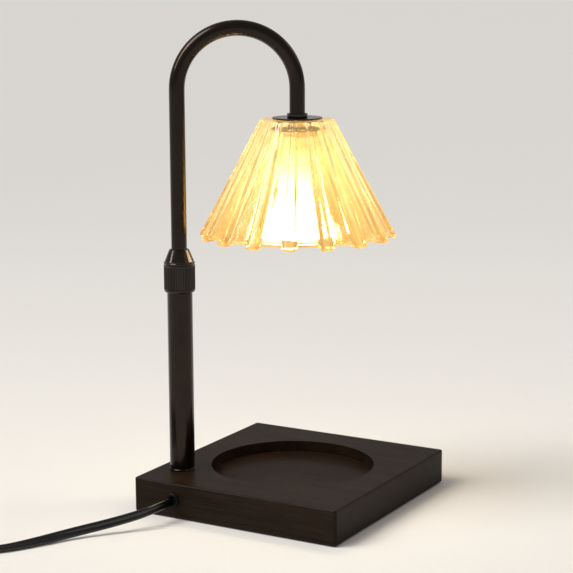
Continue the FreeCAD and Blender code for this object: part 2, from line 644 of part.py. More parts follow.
def lamp_holder():
    """The lampholder: a cap on the nipple, a ceramic body with two keyed slots, and its contacts."""
    cap_roof = f"({CAP_TOP} - holder_wall)"
    turned("holder_cap", [
        ("nipple_radius + seat_gap", cap_roof),
        ("holder_cap_radius - holder_wall", cap_roof),
        ("holder_cap_radius - holder_wall", CAP_BOTTOM),
        ("holder_cap_radius", CAP_BOTTOM), ("holder_cap_radius", f"{CAP_TOP} - 0.8"),
        ("holder_cap_radius - 0.8", CAP_TOP), ("nipple_radius + seat_gap", CAP_TOP),
    ], SHADE_X, SHADE_Y)
    body = turned("holder_body", [
        ("0", HOLDER_BOTTOM), ("holder_body_radius - 0.6", HOLDER_BOTTOM),
        ("holder_body_radius", f"{HOLDER_BOTTOM} + 0.6"),
        ("holder_body_radius", CAP_BOTTOM), ("0", CAP_BOTTOM),
    ], SHADE_X, SHADE_Y)
    made = new_sketch(body, "XY_Plane", "pin_slots_plan", HOLDER_BOTTOM)
    for half_turn in (0, 180):
        arc_slot(made, "pin_circle", "pin_slot_radius", half_turn)
    pocket(body, made, "pin_slot_depth", "pin_slots")
    contacts = []
    level = number(HOLDER_BOTTOM) + number("pin_slot_depth") - number("contact_thickness")
    x, y = number(SHADE_X), number(SHADE_Y)
    for half_turn in (0, 180):
        plate = arc_solid(number("pin_circle"), number("pin_slot_radius") - 0.4, half_turn, level,
                          number("contact_thickness"))
        plate.translate(Vector(x, y, 0))
        contacts.append(plate)
    plain_feature("holder_contacts", Part.Compound(contacts))


def arc_points(circle, half, turn):
    """The corner points and middles of a curved slot about the axis, from its start angle."""
    low, high = math.radians(turn), math.radians(turn + number("twist_angle"))

    def at(radius, angle):
        return Vector(radius * math.cos(angle), radius * math.sin(angle), 0)

    along = lambda angle: Vector(-math.sin(angle), math.cos(angle), 0)
    inner, outer = circle - half, circle + half
    middle = (low + high) / 2
    return [
        (at(outer, low), at(outer, middle), at(outer, high)),
        (at(outer, high), at(circle, high) + along(high) * half, at(inner, high)),
        (at(inner, high), at(inner, middle), at(inner, low)),
        (at(inner, low), at(circle, low) - along(low) * half, at(outer, low)),
    ]


def arc_slot(made, circle, half, turn):
    """A curved slot in a sketch, as four arcs."""
    for start, middle, end in arc_points(number(circle), number(half), turn):
        made.addGeometry(Part.Arc(start, middle, end), False)


def arc_solid(circle, half, turn, level, height):
    """A curved slot's solid."""
    wire = Part.Wire([Part.Arc(*three).toShape() for three in arc_points(circle, half, turn)])
    solid = Part.Face(wire).extrude(Vector(0, 0, height))
    solid.translate(Vector(0, 0, level))
    return solid


def bulb():
    """The reflector bulb: its base and dish, its front glass and its two headed pins."""
    rim = "bulb_rim_radius"
    neck = f"({BULB_TOP} - bulb_neck_length)"
    turned("bulb_body", [
        ("0", BULB_TOP), ("bulb_neck_radius - 1", BULB_TOP), ("bulb_neck_radius", f"{BULB_TOP} - 1"),
        ("bulb_neck_radius - 0.8", neck), ("bulb_neck_radius + 4.4", f"{neck} - 7"),
        (f"{rim} - 3.4", f"{BULB_BOTTOM} + 9"), (rim, f"{BULB_BOTTOM} + lens_rim + 1.6"),
        (rim, BULB_BOTTOM), (f"{rim} - bulb_wall", BULB_BOTTOM),
        (f"{rim} - bulb_wall", f"{BULB_BOTTOM} + lens_rim + 1"),
        (f"{rim} - 3.4 - bulb_wall", f"{BULB_BOTTOM} + 9"),
        ("bulb_neck_radius + 4.4 - bulb_wall", f"{neck} - 7"), ("6", f"{neck} - 2"), ("0", f"{neck} - 2"),
    ], SHADE_X, SHADE_Y)
    turned("bulb_lens", [
        ("0", f"{BULB_BOTTOM} + 0.4"), (f"{rim} - bulb_wall - seat_gap", f"{BULB_BOTTOM} + 0.4"),
        (f"{rim} - bulb_wall - seat_gap", f"{BULB_BOTTOM} + 0.4 + lens_thickness"),
        ("0", f"{BULB_BOTTOM} + 0.4 + lens_thickness"),
    ], SHADE_X, SHADE_Y)
    turn = math.radians(number("twist_angle"))
    centre = Vector(number(SHADE_X), number(SHADE_Y), 0)
    top = number(BULB_TOP) + number("pin_length")
    pins = []
    for angle in (turn, turn + math.pi):
        at = centre + Vector(math.cos(angle), math.sin(angle), 0) * number("pin_circle")
        shank = cylinder(number("pin_radius"), number(BULB_TOP), top, at.x, at.y)
        crown = cylinder(number("pin_head_radius"), top - number("pin_head_height"), top, at.x, at.y)
        pins.append(shank.fuse(crown).removeSplitter())
    plain_feature("bulb_pins", Part.Compound(pins))


def soft_path(points, radii=None, share=0.45):
    """Straight runs joined by tangent arcs, each as large as its two runs allow."""
    edges, at, made = [], points[0], []
    for i in range(1, len(points) - 1):
        before, corner, after = points[i - 1], points[i], points[i + 1]
        back, on = (before - corner), (after - corner)
        shorter = min(back.Length, on.Length)
        turn = math.pi - back.getAngle(on)
        reach = share * shorter
        radius = reach / math.tan(turn / 2)
        if radii and radii[i - 1]:
            radius = radii[i - 1]
            reach = radius * math.tan(turn / 2)
        start = corner + back.normalize() * reach
        end = corner + on.normalize() * reach
        inward = (back + on).normalize()
        middle = corner + inward * (radius / math.cos(turn / 2) - radius)
        if (start - at).Length > 1e-6:
            edges.append(Part.LineSegment(at, start).toShape())
        edges.append(Part.Arc(start, middle, end).toShape())
        at = end
        made.append(round(radius, 1))
    edges.append(Part.LineSegment(at, points[-1]).toShape())
    return Part.Wire(edges), made


def section_area(radius, sides):
    """The area of a round or flat-sided section."""
    if not sides:
        return math.pi * radius * radius
    return sides / 2 * radius * radius * math.sin(2 * math.pi / sides)


def soft_tube(label, points, radius, radii=None, sides=0):
    """A lead or cord along its points; its radii and its volume against section times length are printed."""
    path, made = soft_path(points, radii)
    solid = tube_along(path, radius, sides)
    share = solid.Volume / (section_area(radius, sides) * path.Length)
    print(f"{label}: length {path.Length:.1f} mm, radii {made}, volume share {share:.4f}")
    plain_feature(label, solid)


def inner_leads():
    """The cord's tail in the base, its clamp, the terminal block, and the lead up to the lampholder."""
    x, level, front = number("cord_x"), number("cord_level"), -number("base_depth") / 2
    outlet = number("outlet_y")
    block_face, floor = number("block_front"), number("foot_stand + cover_thickness")
    low = floor + number("cord_radius") + 0.05
    bend = number("clamp_y + clamp_width / 2") + 6.2
    soft_tube("cord_tail", [
        Vector(x, outlet, level), Vector(x, bend, level), Vector(x, block_face - 5.5, low),
        Vector(x, block_face, low),
    ], number("cord_radius"), None, COIL_SIDES)
    turned_bushing(x, level, front)
    clamp()
    terminal_block(floor, low)
    px, py, lead = number("pole_x"), number("pole_y"), number("lead_level")
    right = px + 2 * number("lead_turn")
    start, back = block_face + number("block_length"), number("pocket_back - lead_radius - 0.6")
    soft_tube("base_lead", [
        Vector(right, start, lead), Vector(right, back, lead), Vector(px, back, lead), Vector(px, py, lead),
        Vector(px, py, number(POLE_FOOT) + number("stud_above")),
    ], number("lead_radius"), [number("lead_turn") - 0.01, number("lead_turn") - 0.01, number("lead_bend")], LEAD_SIDES)
    low, high = number(POLE_FOOT) + number("stud_above"), number("arch_bottom") - number("bush_flange")
    height = high - low
    sway = 2.2
    bends = ((0, 0.12), (1, 0.31), (-1, 0.5), (1, 0.69), (0, 0.88))
    soft_tube("slack_lead", [Vector(px, py, low)] + [
        Vector(px + sway * side * math.cos(k), py + sway * side * math.sin(k), low + height * share)
        for k, (side, share) in enumerate(bends)
    ] + [Vector(px, py, high)], number("lead_radius"), None, LEAD_SIDES)
    path = arch_path(high, number(CAP_BOTTOM))
    plain_feature("arch_lead", tube_along(path, number("lead_radius"), LEAD_SIDES))


def turned_bushing(x, level, front):
    """The round bushing that lines the cord's hole: a domed collar and a shank, along Y."""
    proud, shank = number("bushing_proud"), number("bushing_shank_radius")
    bore, collar = number("cord_radius") + number("seat_gap"), number("bushing_radius")
    length = -number("base_depth") / 2 - number("pocket_front")
    edge = 0.5
    corners = [(bore, -proud), (collar - edge, -proud), (collar, -proud + edge), (collar, 0), (shank, 0),
               (shank, -length), (bore, -length)]
    spots = [Vector(r, y, 0) for r, y in corners]
    face = Part.Face(Part.makePolygon(spots + spots[:1]))
    solid = face.revolve(Vector(0, 0, 0), Vector(0, 1, 0), 360)
    solid.translate(Vector(x, front, level))
    plain_feature("cord_bushing", solid)


def clamp():
    """The bar that holds the cord against the pocket's roof, with its two screws."""
    x, y = number("cord_x"), number("clamp_y")
    roof = number(INLET_TOP)
    under = number("cord_level") - number("cord_radius") - 0.05
    thick = number("clamp_thickness")
    long, wide = number("clamp_length"), number("clamp_width")
    bar = Part.makeBox(long, wide, thick, Vector(x - long / 2, y - wide / 2, under - thick))
    upright = [e for e in bar.Edges if len(e.Vertexes) == 2
               and abs(e.Vertexes[0].Point.z - e.Vertexes[1].Point.z) > thick / 2]
    bar = bar.makeFillet(wide / 2.2, upright)
    screws = []
    for side in (-1, 1):
        sx = x + side * number("clamp_screw_offset")
        bar = bar.cut(cylinder(number("screw_radius") + number("seat_gap"), under - thick - 1, under + 1, sx, y))
        low = under - thick - number("screw_head_height")
        head = cylinder(number("screw_head_radius"), low, under - thick, sx, y)
        shank = prism(number("screw_radius"), low, roof + number("clamp_screw_sunk"), sx, y)
        screws.append(head.fuse(shank).removeSplitter())
    plain_feature("cord_clamp", bar)
    plain_feature("clamp_screws", Part.Compound(screws))


def terminal_block(floor, level):
    """A two-way nylon terminal block with its clamping screws, lying on the cover."""
    x = number("cord_x")
    wide, long, high = number("block_width"), number("block_length"), number("block_height")
    front = number("block_front")
    left = x - wide / 2 - 1.0
    block = Part.makeBox(wide, long, high, Vector(left, front, floor))
    long_edges = [e for e in block.Edges if abs(e.tangentAt(e.FirstParameter).y) > 0.9
                  and e.CenterOfMass.z > floor + high / 2]
    block = block.makeFillet(1.5, long_edges)
    screws = []
    for sx in (0.28, 0.72):
        for sy in (0.27, 0.73):
            cx, cy = left + wide * sx, front + long * sy
            well = cylinder(number("block_screw_radius") + number("seat_gap"), floor + high - 3, floor + high + 1,
                            cx, cy)
            block = block.cut(well)
            screws.append(prism(number("block_screw_radius"), floor + high - 3, floor + high - 0.6, cx, cy))
    plain_feature("terminal_block", block)
    plain_feature("terminal_screws", Part.Compound(screws))


# The cord outside: its run on the table, its coil, the dimmer and the plug.
# The points of the run are chosen by hand, from the bushing's face to the dimmer.
CORD_RUN = [
    (0.0, 0.0, 12.4), (-1.5, -22.4, 11.4), (-16.4, -40.9, 7.2), (-31.9, -60.4, 4.2),
    (-43.4, -83.4, 3.2), (-55.9, -104.4, 3.2), (-68.4, -114.4, 4.0), (-81.9, -116.4, 4.7),
]


def cord_spot(aside, ahead, level):
    """A point of the cord's route from its distances to the bushing's face."""
    return Vector(number("cord_x") + aside, number("outlet_y") + ahead, level)


def arc_between(start, along, end):
    """The circular arc that leaves start in a direction and reaches end."""
    chord = end - start
    half = chord.getAngle(along)
    if half < 1e-6:
        return Part.LineSegment(start, end).toShape()
    side = along - chord * (along.dot(chord) / chord.dot(chord))
    middle = start + chord * 0.5 + side.normalize() * (chord.Length / 2 * math.tan(half / 2))
    return Part.Arc(start, middle, end).toShape()


def biarc(start, leaving, end, arriving):
    """Two tangent arcs from one point and direction to another."""
    span, both = end - start, leaving + arriving
    rest = 2 * (1 - leaving.dot(arriving))
    if rest < 1e-9:
        reach = span.dot(span) / (2 * span.dot(both))
    else:
        reach = (-span.dot(both) + math.sqrt(span.dot(both) ** 2 + rest * span.dot(span))) / rest
    first, second = start + leaving * reach, end - arriving * reach
    joint = (first + second) * 0.5
    through = (second - first).normalize()
    return [arc_between(start, leaving, joint), arc_between(joint, through, end)]


def coil_point(turn):
    """A point of the wound cord and its direction, at a number of turns from the coil's start."""
    inward = number("coil_turns")
    radius = number("coil_radius") - number("coil_pitch") * min(turn, 2 * inward - turn)
    step, bed = number("layer_step"), number("cord_radius + coil_bed")
    climb = min(max((turn - inward) / 0.5 + 0.5, 0.0), 1.0)
    level = bed + step * climb
    angle = -math.pi / 2 - 2 * math.pi * turn
    slope = 0.0
    if 0 < climb < 1:
        slope = step / 0.5 / (2 * math.pi * radius) * 1.5
    grow = (-1 if turn < inward else 1) * number("coil_pitch") / (2 * math.pi * radius)
    if abs(turn - inward) < 1e-9:
        grow = 0.0
    out = Vector(math.cos(angle), math.sin(angle), 0)
    on = Vector(math.sin(angle), -math.cos(angle), 0)
    along = (on + out * grow + Vector(0, 0, slope)).normalize()
    return Vector(number("coil_x"), number("coil_y"), level) + out * radius, along


def least_self_gap(path, radius):
    """The least clear distance between the wound tube and itself, measured on points."""
    points = path.discretize(Distance=2.0)
    apart = int(6 * radius / 2.0)
    least = min((points[i] - points[j]).Length
                for i in range(len(points)) for j in range(i + apart, len(points)))
    return least - 2 * radius


def cord_outside():
    """The run, the coil and the straight ends that meet the dimmer and the plug."""
    radius = number("cord_radius")
    run = [cord_spot(*spot) for spot in CORD_RUN]
    soft_tube("cord_run", run, radius, None, RUN_SIDES)
    end = dimmer_end()
    straight = 2 * radius
    leave = Vector(-1, 0, 0)
    start = end + leave * straight
    edges = [Part.LineSegment(end, start).toShape()]
    turns = 2 * number("coil_turns") + 0.25
    first, along = coil_point(0.0)
    edges += biarc(start, leave, first, along)
    steps = int(round(turns * 4))
    at, heading = first, along
    for k in range(1, steps + 1):
        spot, onward = coil_point(k / 4)
        edges += biarc(at, heading, spot, onward)
        at, heading = spot, onward
    last = at + Vector(0, 1, 0) * 12.0
    final = Vector(0, 1, 0)
    edges += biarc(at, heading, last, final)
    finish = last + final * straight
    edges.append(Part.LineSegment(last, finish).toShape())
    path = Part.Wire(edges)
    solid = tube_along(path, radius, COIL_SIDES)
    share = solid.Volume / (section_area(radius, COIL_SIDES) * path.Length)
    print(f"cord_coil: length {path.Length:.1f} mm, volume share {share:.4f}, "
          f"least gap to itself {least_self_gap(path, radius):.2f} mm, lowest {solid.BoundBox.ZMin:.2f}")
    plain_feature("cord_coil", solid)
    return finish


def dimmer_start():
    """Where the run meets the dimmer's boot."""
    return cord_spot(*CORD_RUN[-1])


def dimmer_end():
    """Where the coil's tail meets the dimmer's other boot."""
    start = dimmer_start()
    return start + Vector(-number("dimmer_length") - 2 * number("end_boot"), 0, 0)


def rounded_block(low, high, corner, edge=0.0):
    """A box with rounded upright corners and, if asked, softened rims."""
    box = Part.makeBox(*(high - low), low)
    upright = [e for e in box.Edges if abs(e.tangentAt(e.FirstParameter).z) > 0.9]
    box = box.makeFillet(corner, upright)
    if edge:
        rims = [e for e in box.Edges if e.BoundBox.ZLength < 1e-6]
        box = box.makeChamfer(edge, rims)
    return box


def dimmer():
    """The inline dimmer: two shells, a thumb wheel on its post, and the screws."""
    start = dimmer_start()
    boot, long, wide = number("end_boot"), number("dimmer_length"), number("dimmer_width")
    high, axis = number("dimmer_height"), number("dimmer_height") / 2
    wall, gap, free = number("dimmer_wall"), number("seat_gap"), number("free_gap")
    right, left = start.x - boot, start.x - boot - long
    centre = Vector((left + right) / 2, start.y, axis)
    low, top = Vector(left, start.y - wide / 2, axis - high / 2), Vector(right, start.y + wide / 2, axis + high / 2)
    whole = rounded_block(low, top, number("dimmer_corner"), 1.2)
    inside = rounded_block(low + Vector(wall, wall, wall), top - Vector(wall, wall, wall),
                           number("dimmer_corner") - wall)
    wheel_at = centre + Vector(0, number("wheel_offset"), 0)
    reach, thick, post = number("wheel_radius"), number("wheel_thickness"), number("wheel_pin_radius")
    slot = cylinder(reach + free, axis - thick / 2 - free, axis + thick / 2 + free, wheel_at.x, wheel_at.y)
    shell = whole.cut(inside)
    boots = []
    for face, way in ((right, 1), (left, -1)):
        spot = Vector(face, start.y, start.z)
        boots.append(Part.makeCone(4.5, 3.8, boot, spot, Vector(way, 0, 0)))
        boots.append(Part.makeCylinder(4.5, wall + 0.5, spot, Vector(-way, 0, 0)))
    shell = shell.fuse(boots).cut(slot).removeSplitter()
    keep = Part.makeBox(long + 2 * boot, wide * 2, high, Vector(left - boot, start.y - wide, axis - high))
    lower = shell.common(keep)
    upper = shell.cut(keep)
    lower_post = cylinder(post, axis - high / 2 + wall, axis + thick / 2 + free, wheel_at.x, wheel_at.y)
    lower_rest = cylinder(post + 1.6, axis - high / 2 + wall, axis - thick / 2 - free, wheel_at.x, wheel_at.y)
    lower = lower.fuse([lower_post, lower_rest])
    screws = []
    for side in (-1, 1):
        x = centre.x + side * number("dimmer_screw_offset")
        y = start.y - wide / 2 + wall + 3.4
        bore, head = number("screw_radius"), number("screw_head_radius")
        pillar = cylinder(3.0, axis - high / 2 + wall, axis, x, y)
        cap = cylinder(3.0, axis, axis + high / 2 - wall, x, y)
        lower = lower.fuse(pillar).cut([
            cylinder(bore + gap, axis - high / 2 - 1, axis, x, y),
            cylinder(head + gap, axis - high / 2 - 1, axis - high / 2 + 1.2, x, y)])
        upper = upper.fuse(cap).cut(cylinder(bore + gap, axis - 1, axis + 4, x, y))
        shank = prism(bore, axis - high / 2 + 0.4, axis + 3.8, x, y)
        crown = cylinder(head, axis - high / 2 + 0.4, axis - high / 2 + 1.2, x, y)
        screws.append(shank.fuse(crown).removeSplitter())
    plain_feature("dimmer_lower", lower.removeSplitter())
    plain_feature("dimmer_upper", upper.removeSplitter())
    plain_feature("dimmer_screws", Part.Compound(screws))
    wheel = cylinder(reach, axis - thick / 2, axis + thick / 2, wheel_at.x, wheel_at.y)
    wheel = wheel.cut(cylinder(post + number("running_gap"), axis - thick, axis + thick, wheel_at.x, wheel_at.y))
    notches = []
    for k in range(20):
        angle = 2 * math.pi * k / 20
        out = Vector(math.cos(angle), math.sin(angle), 0)
        rim = wheel_at + out * (reach + 0.3)
        notches.append(prism(1.2, axis - thick, axis + thick, rim.x, rim.y, 4))
    plain_feature("dimmer_wheel", wheel.cut(notches))


def plug(face):
    """The plug: a tapered grip with a rounded back and two flat blades."""
    wide, high, long = number("plug_width"), number("plug_height"), number("plug_length")

    def section(half_wide, half_high, y):
        r = min(half_wide, half_high) * 0.45
        box = Part.makeBox(2 * half_wide, 1, 2 * half_high, Vector(face.x - half_wide, y, face.z - half_high))
        along = [e for e in box.Edges if abs(e.tangentAt(e.FirstParameter).y) > 0.9]
        rounded = box.makeFillet(r, along)
        back = min(rounded.Faces, key=lambda f: abs(f.CenterOfMass.y - y) + (f.normalAt(0, 0).y > 0))
        return back.OuterWire

    y0 = face.y
    grip = Part.makeLoft([
        section(wide * 0.27, high * 0.32, y0), section(wide * 0.36, high * 0.4, y0 + long * 0.3),
        section(wide * 0.5, high * 0.5, y0 + long * 0.62), section(wide * 0.5, high * 0.5, y0 + long),
    ], True, True)
    blades = []
    sunk, gap = number("blade_sunk"), number("seat_gap")
    for side in (-1, 1):
        x = face.x + side * number("blade_spacing") / 2
        thick, tall = number("blade_thick"), number("blade_width")
        low = Vector(x - thick / 2, y0 + long - sunk, face.z - tall / 2)
        blade = Part.makeBox(thick, number("blade_length") + sunk, tall, low)
        tip = [e for e in blade.Edges if e.CenterOfMass.y > y0 + long + number("blade_length") - 0.01]
        blade = blade.makeChamfer(0.45, tip)
        seat = Part.makeBox(thick + 2 * gap, sunk + 1, tall + 2 * gap, low - Vector(gap, gap, gap))
        grip = grip.cut(seat)
        blades.append(blade)
    plain_feature("plug_body", grip)
    plain_feature("plug_blades", Part.Compound(blades))


base_block()
base_fittings()
pole()
collar_nut()
crook()
crook_end()
head()
glass_shade()
lamp_holder()
bulb()
inner_leads()
coil_finish = cord_outside()
dimmer()
plug(coil_finish)
doc.recompute()

for made in doc.Objects:
    if "Invalid" in made.State or "Error" in made.State:
        raise RuntimeError(f"{made.Name} failed: {made.State}")
for made in parts:
    if made.Shape.isNull() or not made.Shape.isValid():
        raise RuntimeError(f"{made.Label} has no valid shape")

os.makedirs("parts", exist_ok=True)
facets = 0
for made in parts:
    made.Shape.exportStep(f"parts/{made.Label}.step")
    facets += sum(len(f.tessellate(0.1)[1]) for f in made.Shape.Faces)
    box = made.Shape.BoundBox
    print(f"{made.Label}: {len(made.Shape.Solids)} solids, {made.Shape.Volume:.0f} mm3, "
          f"z {box.ZMin:.1f} to {box.ZMax:.1f}")
print(len(parts), "parts, about", facets, "facets")
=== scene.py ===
import math

import bmesh
import bpy
import numpy as np
from bpy.props import FloatProperty, FloatVectorProperty, IntProperty, PointerProperty
from bpy.types import Operator, Panel, PropertyGroup
from mathutils import Matrix, Vector


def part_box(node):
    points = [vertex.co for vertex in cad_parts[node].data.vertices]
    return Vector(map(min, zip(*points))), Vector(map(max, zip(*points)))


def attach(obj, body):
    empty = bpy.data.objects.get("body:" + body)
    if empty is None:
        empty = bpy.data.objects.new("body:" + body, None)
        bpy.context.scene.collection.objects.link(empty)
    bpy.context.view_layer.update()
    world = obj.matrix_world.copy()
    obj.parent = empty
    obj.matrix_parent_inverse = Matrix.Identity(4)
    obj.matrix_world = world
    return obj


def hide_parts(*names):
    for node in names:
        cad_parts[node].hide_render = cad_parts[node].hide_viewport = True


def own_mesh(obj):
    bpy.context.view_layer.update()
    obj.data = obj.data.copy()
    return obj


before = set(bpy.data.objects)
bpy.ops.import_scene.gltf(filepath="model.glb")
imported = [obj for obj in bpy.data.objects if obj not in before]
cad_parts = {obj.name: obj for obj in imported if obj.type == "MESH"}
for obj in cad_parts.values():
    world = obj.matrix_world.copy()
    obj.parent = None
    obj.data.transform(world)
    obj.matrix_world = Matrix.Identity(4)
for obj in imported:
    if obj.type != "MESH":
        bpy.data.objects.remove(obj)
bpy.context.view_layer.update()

bl_info = {
    "name": "Candle warmer lamp",
    "version": (1, 0, 0),
    "blender": (4, 5, 0),
    "location": "3D View > Sidebar > Lamp",
    "description": "Dresses the packed candle warmer lamp: wood, bronze, fluted glass, cord and studio",
    "category": "Object",
}

MM = 0.001
SLEEVE_WHITE = (0.75, 0.72, 0.66)
LEAD_RADIUS = 1.8 * MM
CORD_WIDE, CORD_THICK = 6.2 * MM, 3.1 * MM
RELIEF_LONG, RELIEF_GROOVES = 20.0 * MM, 7
COIL_CENTRE, COIL_RADIUS, COIL_PITCH, COIL_TURNS = (-0.215, -0.149), 0.044, 0.0068, 3.0
COIL_LOW, COIL_LAYER = 1.7 * MM, 3.4 * MM  # the first layer's height, and the rise to the second
PLUG_LEVEL = 10.2 * MM
CAMERA_PLACE, CAMERA_LENS, FILM_WIDTH = (0.55506, -0.97939, 0.35572), 108.66, 36.0
CAMERA_BEARING, CAMERA_PITCH, CAMERA_ROLL = 29.729, 10.612, -0.233
FLOOR_REACH = 30.0
KEY_AHEAD, KEY_WIDTH = (0.5, 0.55, -1.0), 35  # which way the key light looks, and how wide it is in degrees
STRIP_AIM, STRIP_SPREAD = (0, 0, 0.12), 110
RIB_FLANK = 0.54  # the cosine of the ribs' angle where the painted shade on their flanks is darkest
TINT_HEIGHTS = (0.25, 0.18)  # the glass deepens from the first height down to the second
GLOW_FROM_RIM, GLOW_FROM_TOP = (0.18, 0.212), (0.258, 0.235)  # heights over which the glass's painted glow grows


def middle(node):
    """The middle of a CAD node's box, from its lowest and highest corners."""
    low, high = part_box(node)
    return (low + high) / 2


def width(node):
    """How wide a CAD node is along X."""
    low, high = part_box(node)
    return high.x - low.x


# Shader maths
class Value:
    """A socket whose value varies over a surface; sums and products on it add Math nodes."""

    def __init__(self, finish, socket):
        self.finish = finish
        self.socket = socket

    def math(self, operation, first, second):
        return self.finish.node("ShaderNodeMath", {"operation": operation}, {0: first, 1: second})[0]

    def __add__(self, other):
        return self.math("ADD", self, other)

    def __sub__(self, other):
        return self.math("SUBTRACT", self, other)

    def __rsub__(self, other):
        return self.math("SUBTRACT", other, self)

    def __mul__(self, other):
        return self.math("MULTIPLY", self, other)

    __radd__ = __add__
    __rmul__ = __mul__


class Finish:
    """One material under construction, on Object coordinates."""

    def __init__(self, name, **fixed):
        self.material = bpy.data.materials.new(name)
        self.material.use_nodes = True
        self.tree = self.material.node_tree
        self.surface = self.tree.nodes["Principled BSDF"]
        for socket, value in fixed.items():
            self.surface.inputs[socket.replace("_", " ")].default_value = value

    def node(self, kind, settings, inputs):
        """Any node: its settings first, then the values or links of its sockets."""
        made = self.tree.nodes.new(kind)
        for name, value in settings.items():
            setattr(made, name, value)
        for key, value in inputs.items():
            self.feed(made.inputs[key], value)
        return [Value(self, socket) for socket in made.outputs]

    def feed(self, socket, value):
        """Link a value to a socket, or set it there."""
        if isinstance(value, Value):
            self.tree.links.new(value.socket, socket)
        else:
            socket.default_value = value

    def spots(self, stretch=(1, 1, 1)):
        """Places on the piece in metres, stretched by a Mapping node."""
        source = self.node("ShaderNodeTexCoord", {}, {})[3]
        return self.node("ShaderNodeMapping", {}, {"Vector": source, "Scale": stretch})[0]

    def noise(self, spots, scale, detail=4.0, rough=0.55):
        """Cloudy noise from 0 to 1."""
        return self.node("ShaderNodeTexNoise", {}, {
            "Vector": spots, "Scale": scale, "Detail": detail, "Roughness": rough})[0]

    def fit(self, value, low, high, to_low=0.0, to_high=1.0):
        """A value moved from one range to another and kept in it."""
        return self.node("ShaderNodeMapRange", {}, {
            "Value": value, "From Min": low, "From Max": high, "To Min": to_low, "To Max": to_high})[0]

    def blend(self, share, first, second):
        """Two colours mixed by a share."""
        return self.node("ShaderNodeMix", {"data_type": "RGBA"}, {0: share, 6: first, 7: second})[2]

    def paint(self, socket, value):
        """Feed one socket of the surface shader."""
        self.feed(self.surface.inputs[socket], value)

    def relief(self, height, distance, strength=1.0):
        """A bump from a height between 0 and 1, as deep as distance in metres."""
        bump = self.node("ShaderNodeBump", {}, {
            "Height": height, "Distance": distance, "Strength": strength})[0]
        self.paint("Normal", bump)


def rgba(colour):
    """A colour with full alpha."""
    return (*colour[:3], 1.0)


def shade_of(colour, share):
    """A colour made darker or lighter by a share."""
    return (*[min(1.0, c * share) for c in colour[:3]], 1.0)


def stained_wood(colours):
    """Dark stained hardwood: long fibres along X, growth bands and fine pores under satin lacquer."""
    made = Finish("stained_wood", Specular_IOR_Level=0.07, Coat_Roughness=0.12, Coat_IOR=1.3)
    fibres = made.noise(made.spots((3.0, 90.0, 90.0)), 9.0, 6.0, 0.6)
    bands = made.noise(made.spots((1.2, 16.0, 16.0)), 7.0, 3.0)
    pores = made.fit(made.noise(made.spots((14.0, 420.0, 420.0)), 8.0, 2.0), 0.56, 0.72)
    streak = made.fit(fibres * 0.65 + bands * 0.35, 0.36, 0.64)
    tone = made.blend(streak, shade_of(colours.wood, 0.5), shade_of(colours.wood, 1.9))
    made.paint("Base Color", made.blend(pores * 0.6, tone, shade_of(colours.wood, 0.35)))
    made.paint("Roughness", made.fit(fibres, 0.3, 0.7, 0.34, 0.5) + pores * 0.1)
    made.paint("Coat Weight", made.fit(pores, 0.0, 1.0, 0.08, 0.02))
    made.relief(fibres * 0.5 - pores * 0.5, 0.00012, 0.5)
    return made.material


def dark_bronze(colours, name="dark_bronze", along=(1, 1, 0.02), gloss=0.22, coat=0.3):
    """Satin dark bronze lacquer on metal: drawn lines along the tube and a faint cloud of wear."""
    made = Finish(name, Metallic=1.0, Coat_Roughness=0.1)
    lines = made.noise(made.spots(along), 2600.0, 2.0)
    cloud = made.noise(made.spots(), 55.0, 3.0)
    made.paint("Base Color", made.blend(made.fit(cloud, 0.35, 0.7), shade_of(colours.bronze, 0.8),
                                        shade_of(colours.bronze, 1.3)))
    made.paint("Roughness", made.fit(lines, 0.3, 0.7, gloss - 0.04, gloss + 0.07) + cloud * 0.05)
    made.paint("Coat Weight", made.fit(cloud, 0.3, 0.7, coat, coat * 0.8))
    made.relief(lines, 0.000015, 0.35)
    return made.material


def bright_metal(name, colour, rough):
    """Plain plated metal with fine turning lines."""
    made = Finish(name, Metallic=1.0)
    lines = made.noise(made.spots((1, 1, 6)), 900.0, 2.0)
    made.paint("Base Color", made.blend(lines, shade_of(colour, 0.8), rgba(colour)))
    made.paint("Roughness", made.fit(lines, 0.3, 0.7, rough, rough + 0.15))
    made.relief(lines, 0.00002, 0.3)
    return made.material


def moulded(name, colour, rough, grain=900.0, depth=0.00002, coat=0.0, shine=0.5):
    """Moulded plastic, rubber or glaze: an even colour with a fine skin and soft flow marks."""
    made = Finish(name, Coat_Roughness=0.08, Specular_IOR_Level=shine)
    skin = made.noise(made.spots(), grain, 3.0)
    flow = made.noise(made.spots((1, 1, 2.5)), 45.0, 2.0)
    made.paint("Base Color", made.blend(made.fit(flow, 0.3, 0.7), shade_of(colour, 0.82),
                                        shade_of(colour, 1.12)))
    made.paint("Roughness", made.fit(skin, 0.3, 0.7, rough - 0.05, rough + 0.08) + flow * 0.04)
    made.paint("Coat Weight", made.fit(flow, 0.2, 0.8, coat * 0.8, coat))
    made.relief(skin, depth, 0.4)
    return made.material


def woven_sleeve(colour):
    """Woven glass sleeve on the hidden leads: crossed threads along the lead."""
    made = Finish("woven_sleeve", Roughness=0.85)
    threads = made.node("ShaderNodeTexWave", {"bands_direction": "DIAGONAL"}, {
        "Vector": made.spots(), "Scale": 420.0, "Distortion": 1.5, "Detail": 2.0})[1]
    made.paint("Base Color", made.blend(threads, shade_of(colour, 0.7), rgba(colour)))
    made.relief(threads, 0.00015, 0.6)
    return made.material


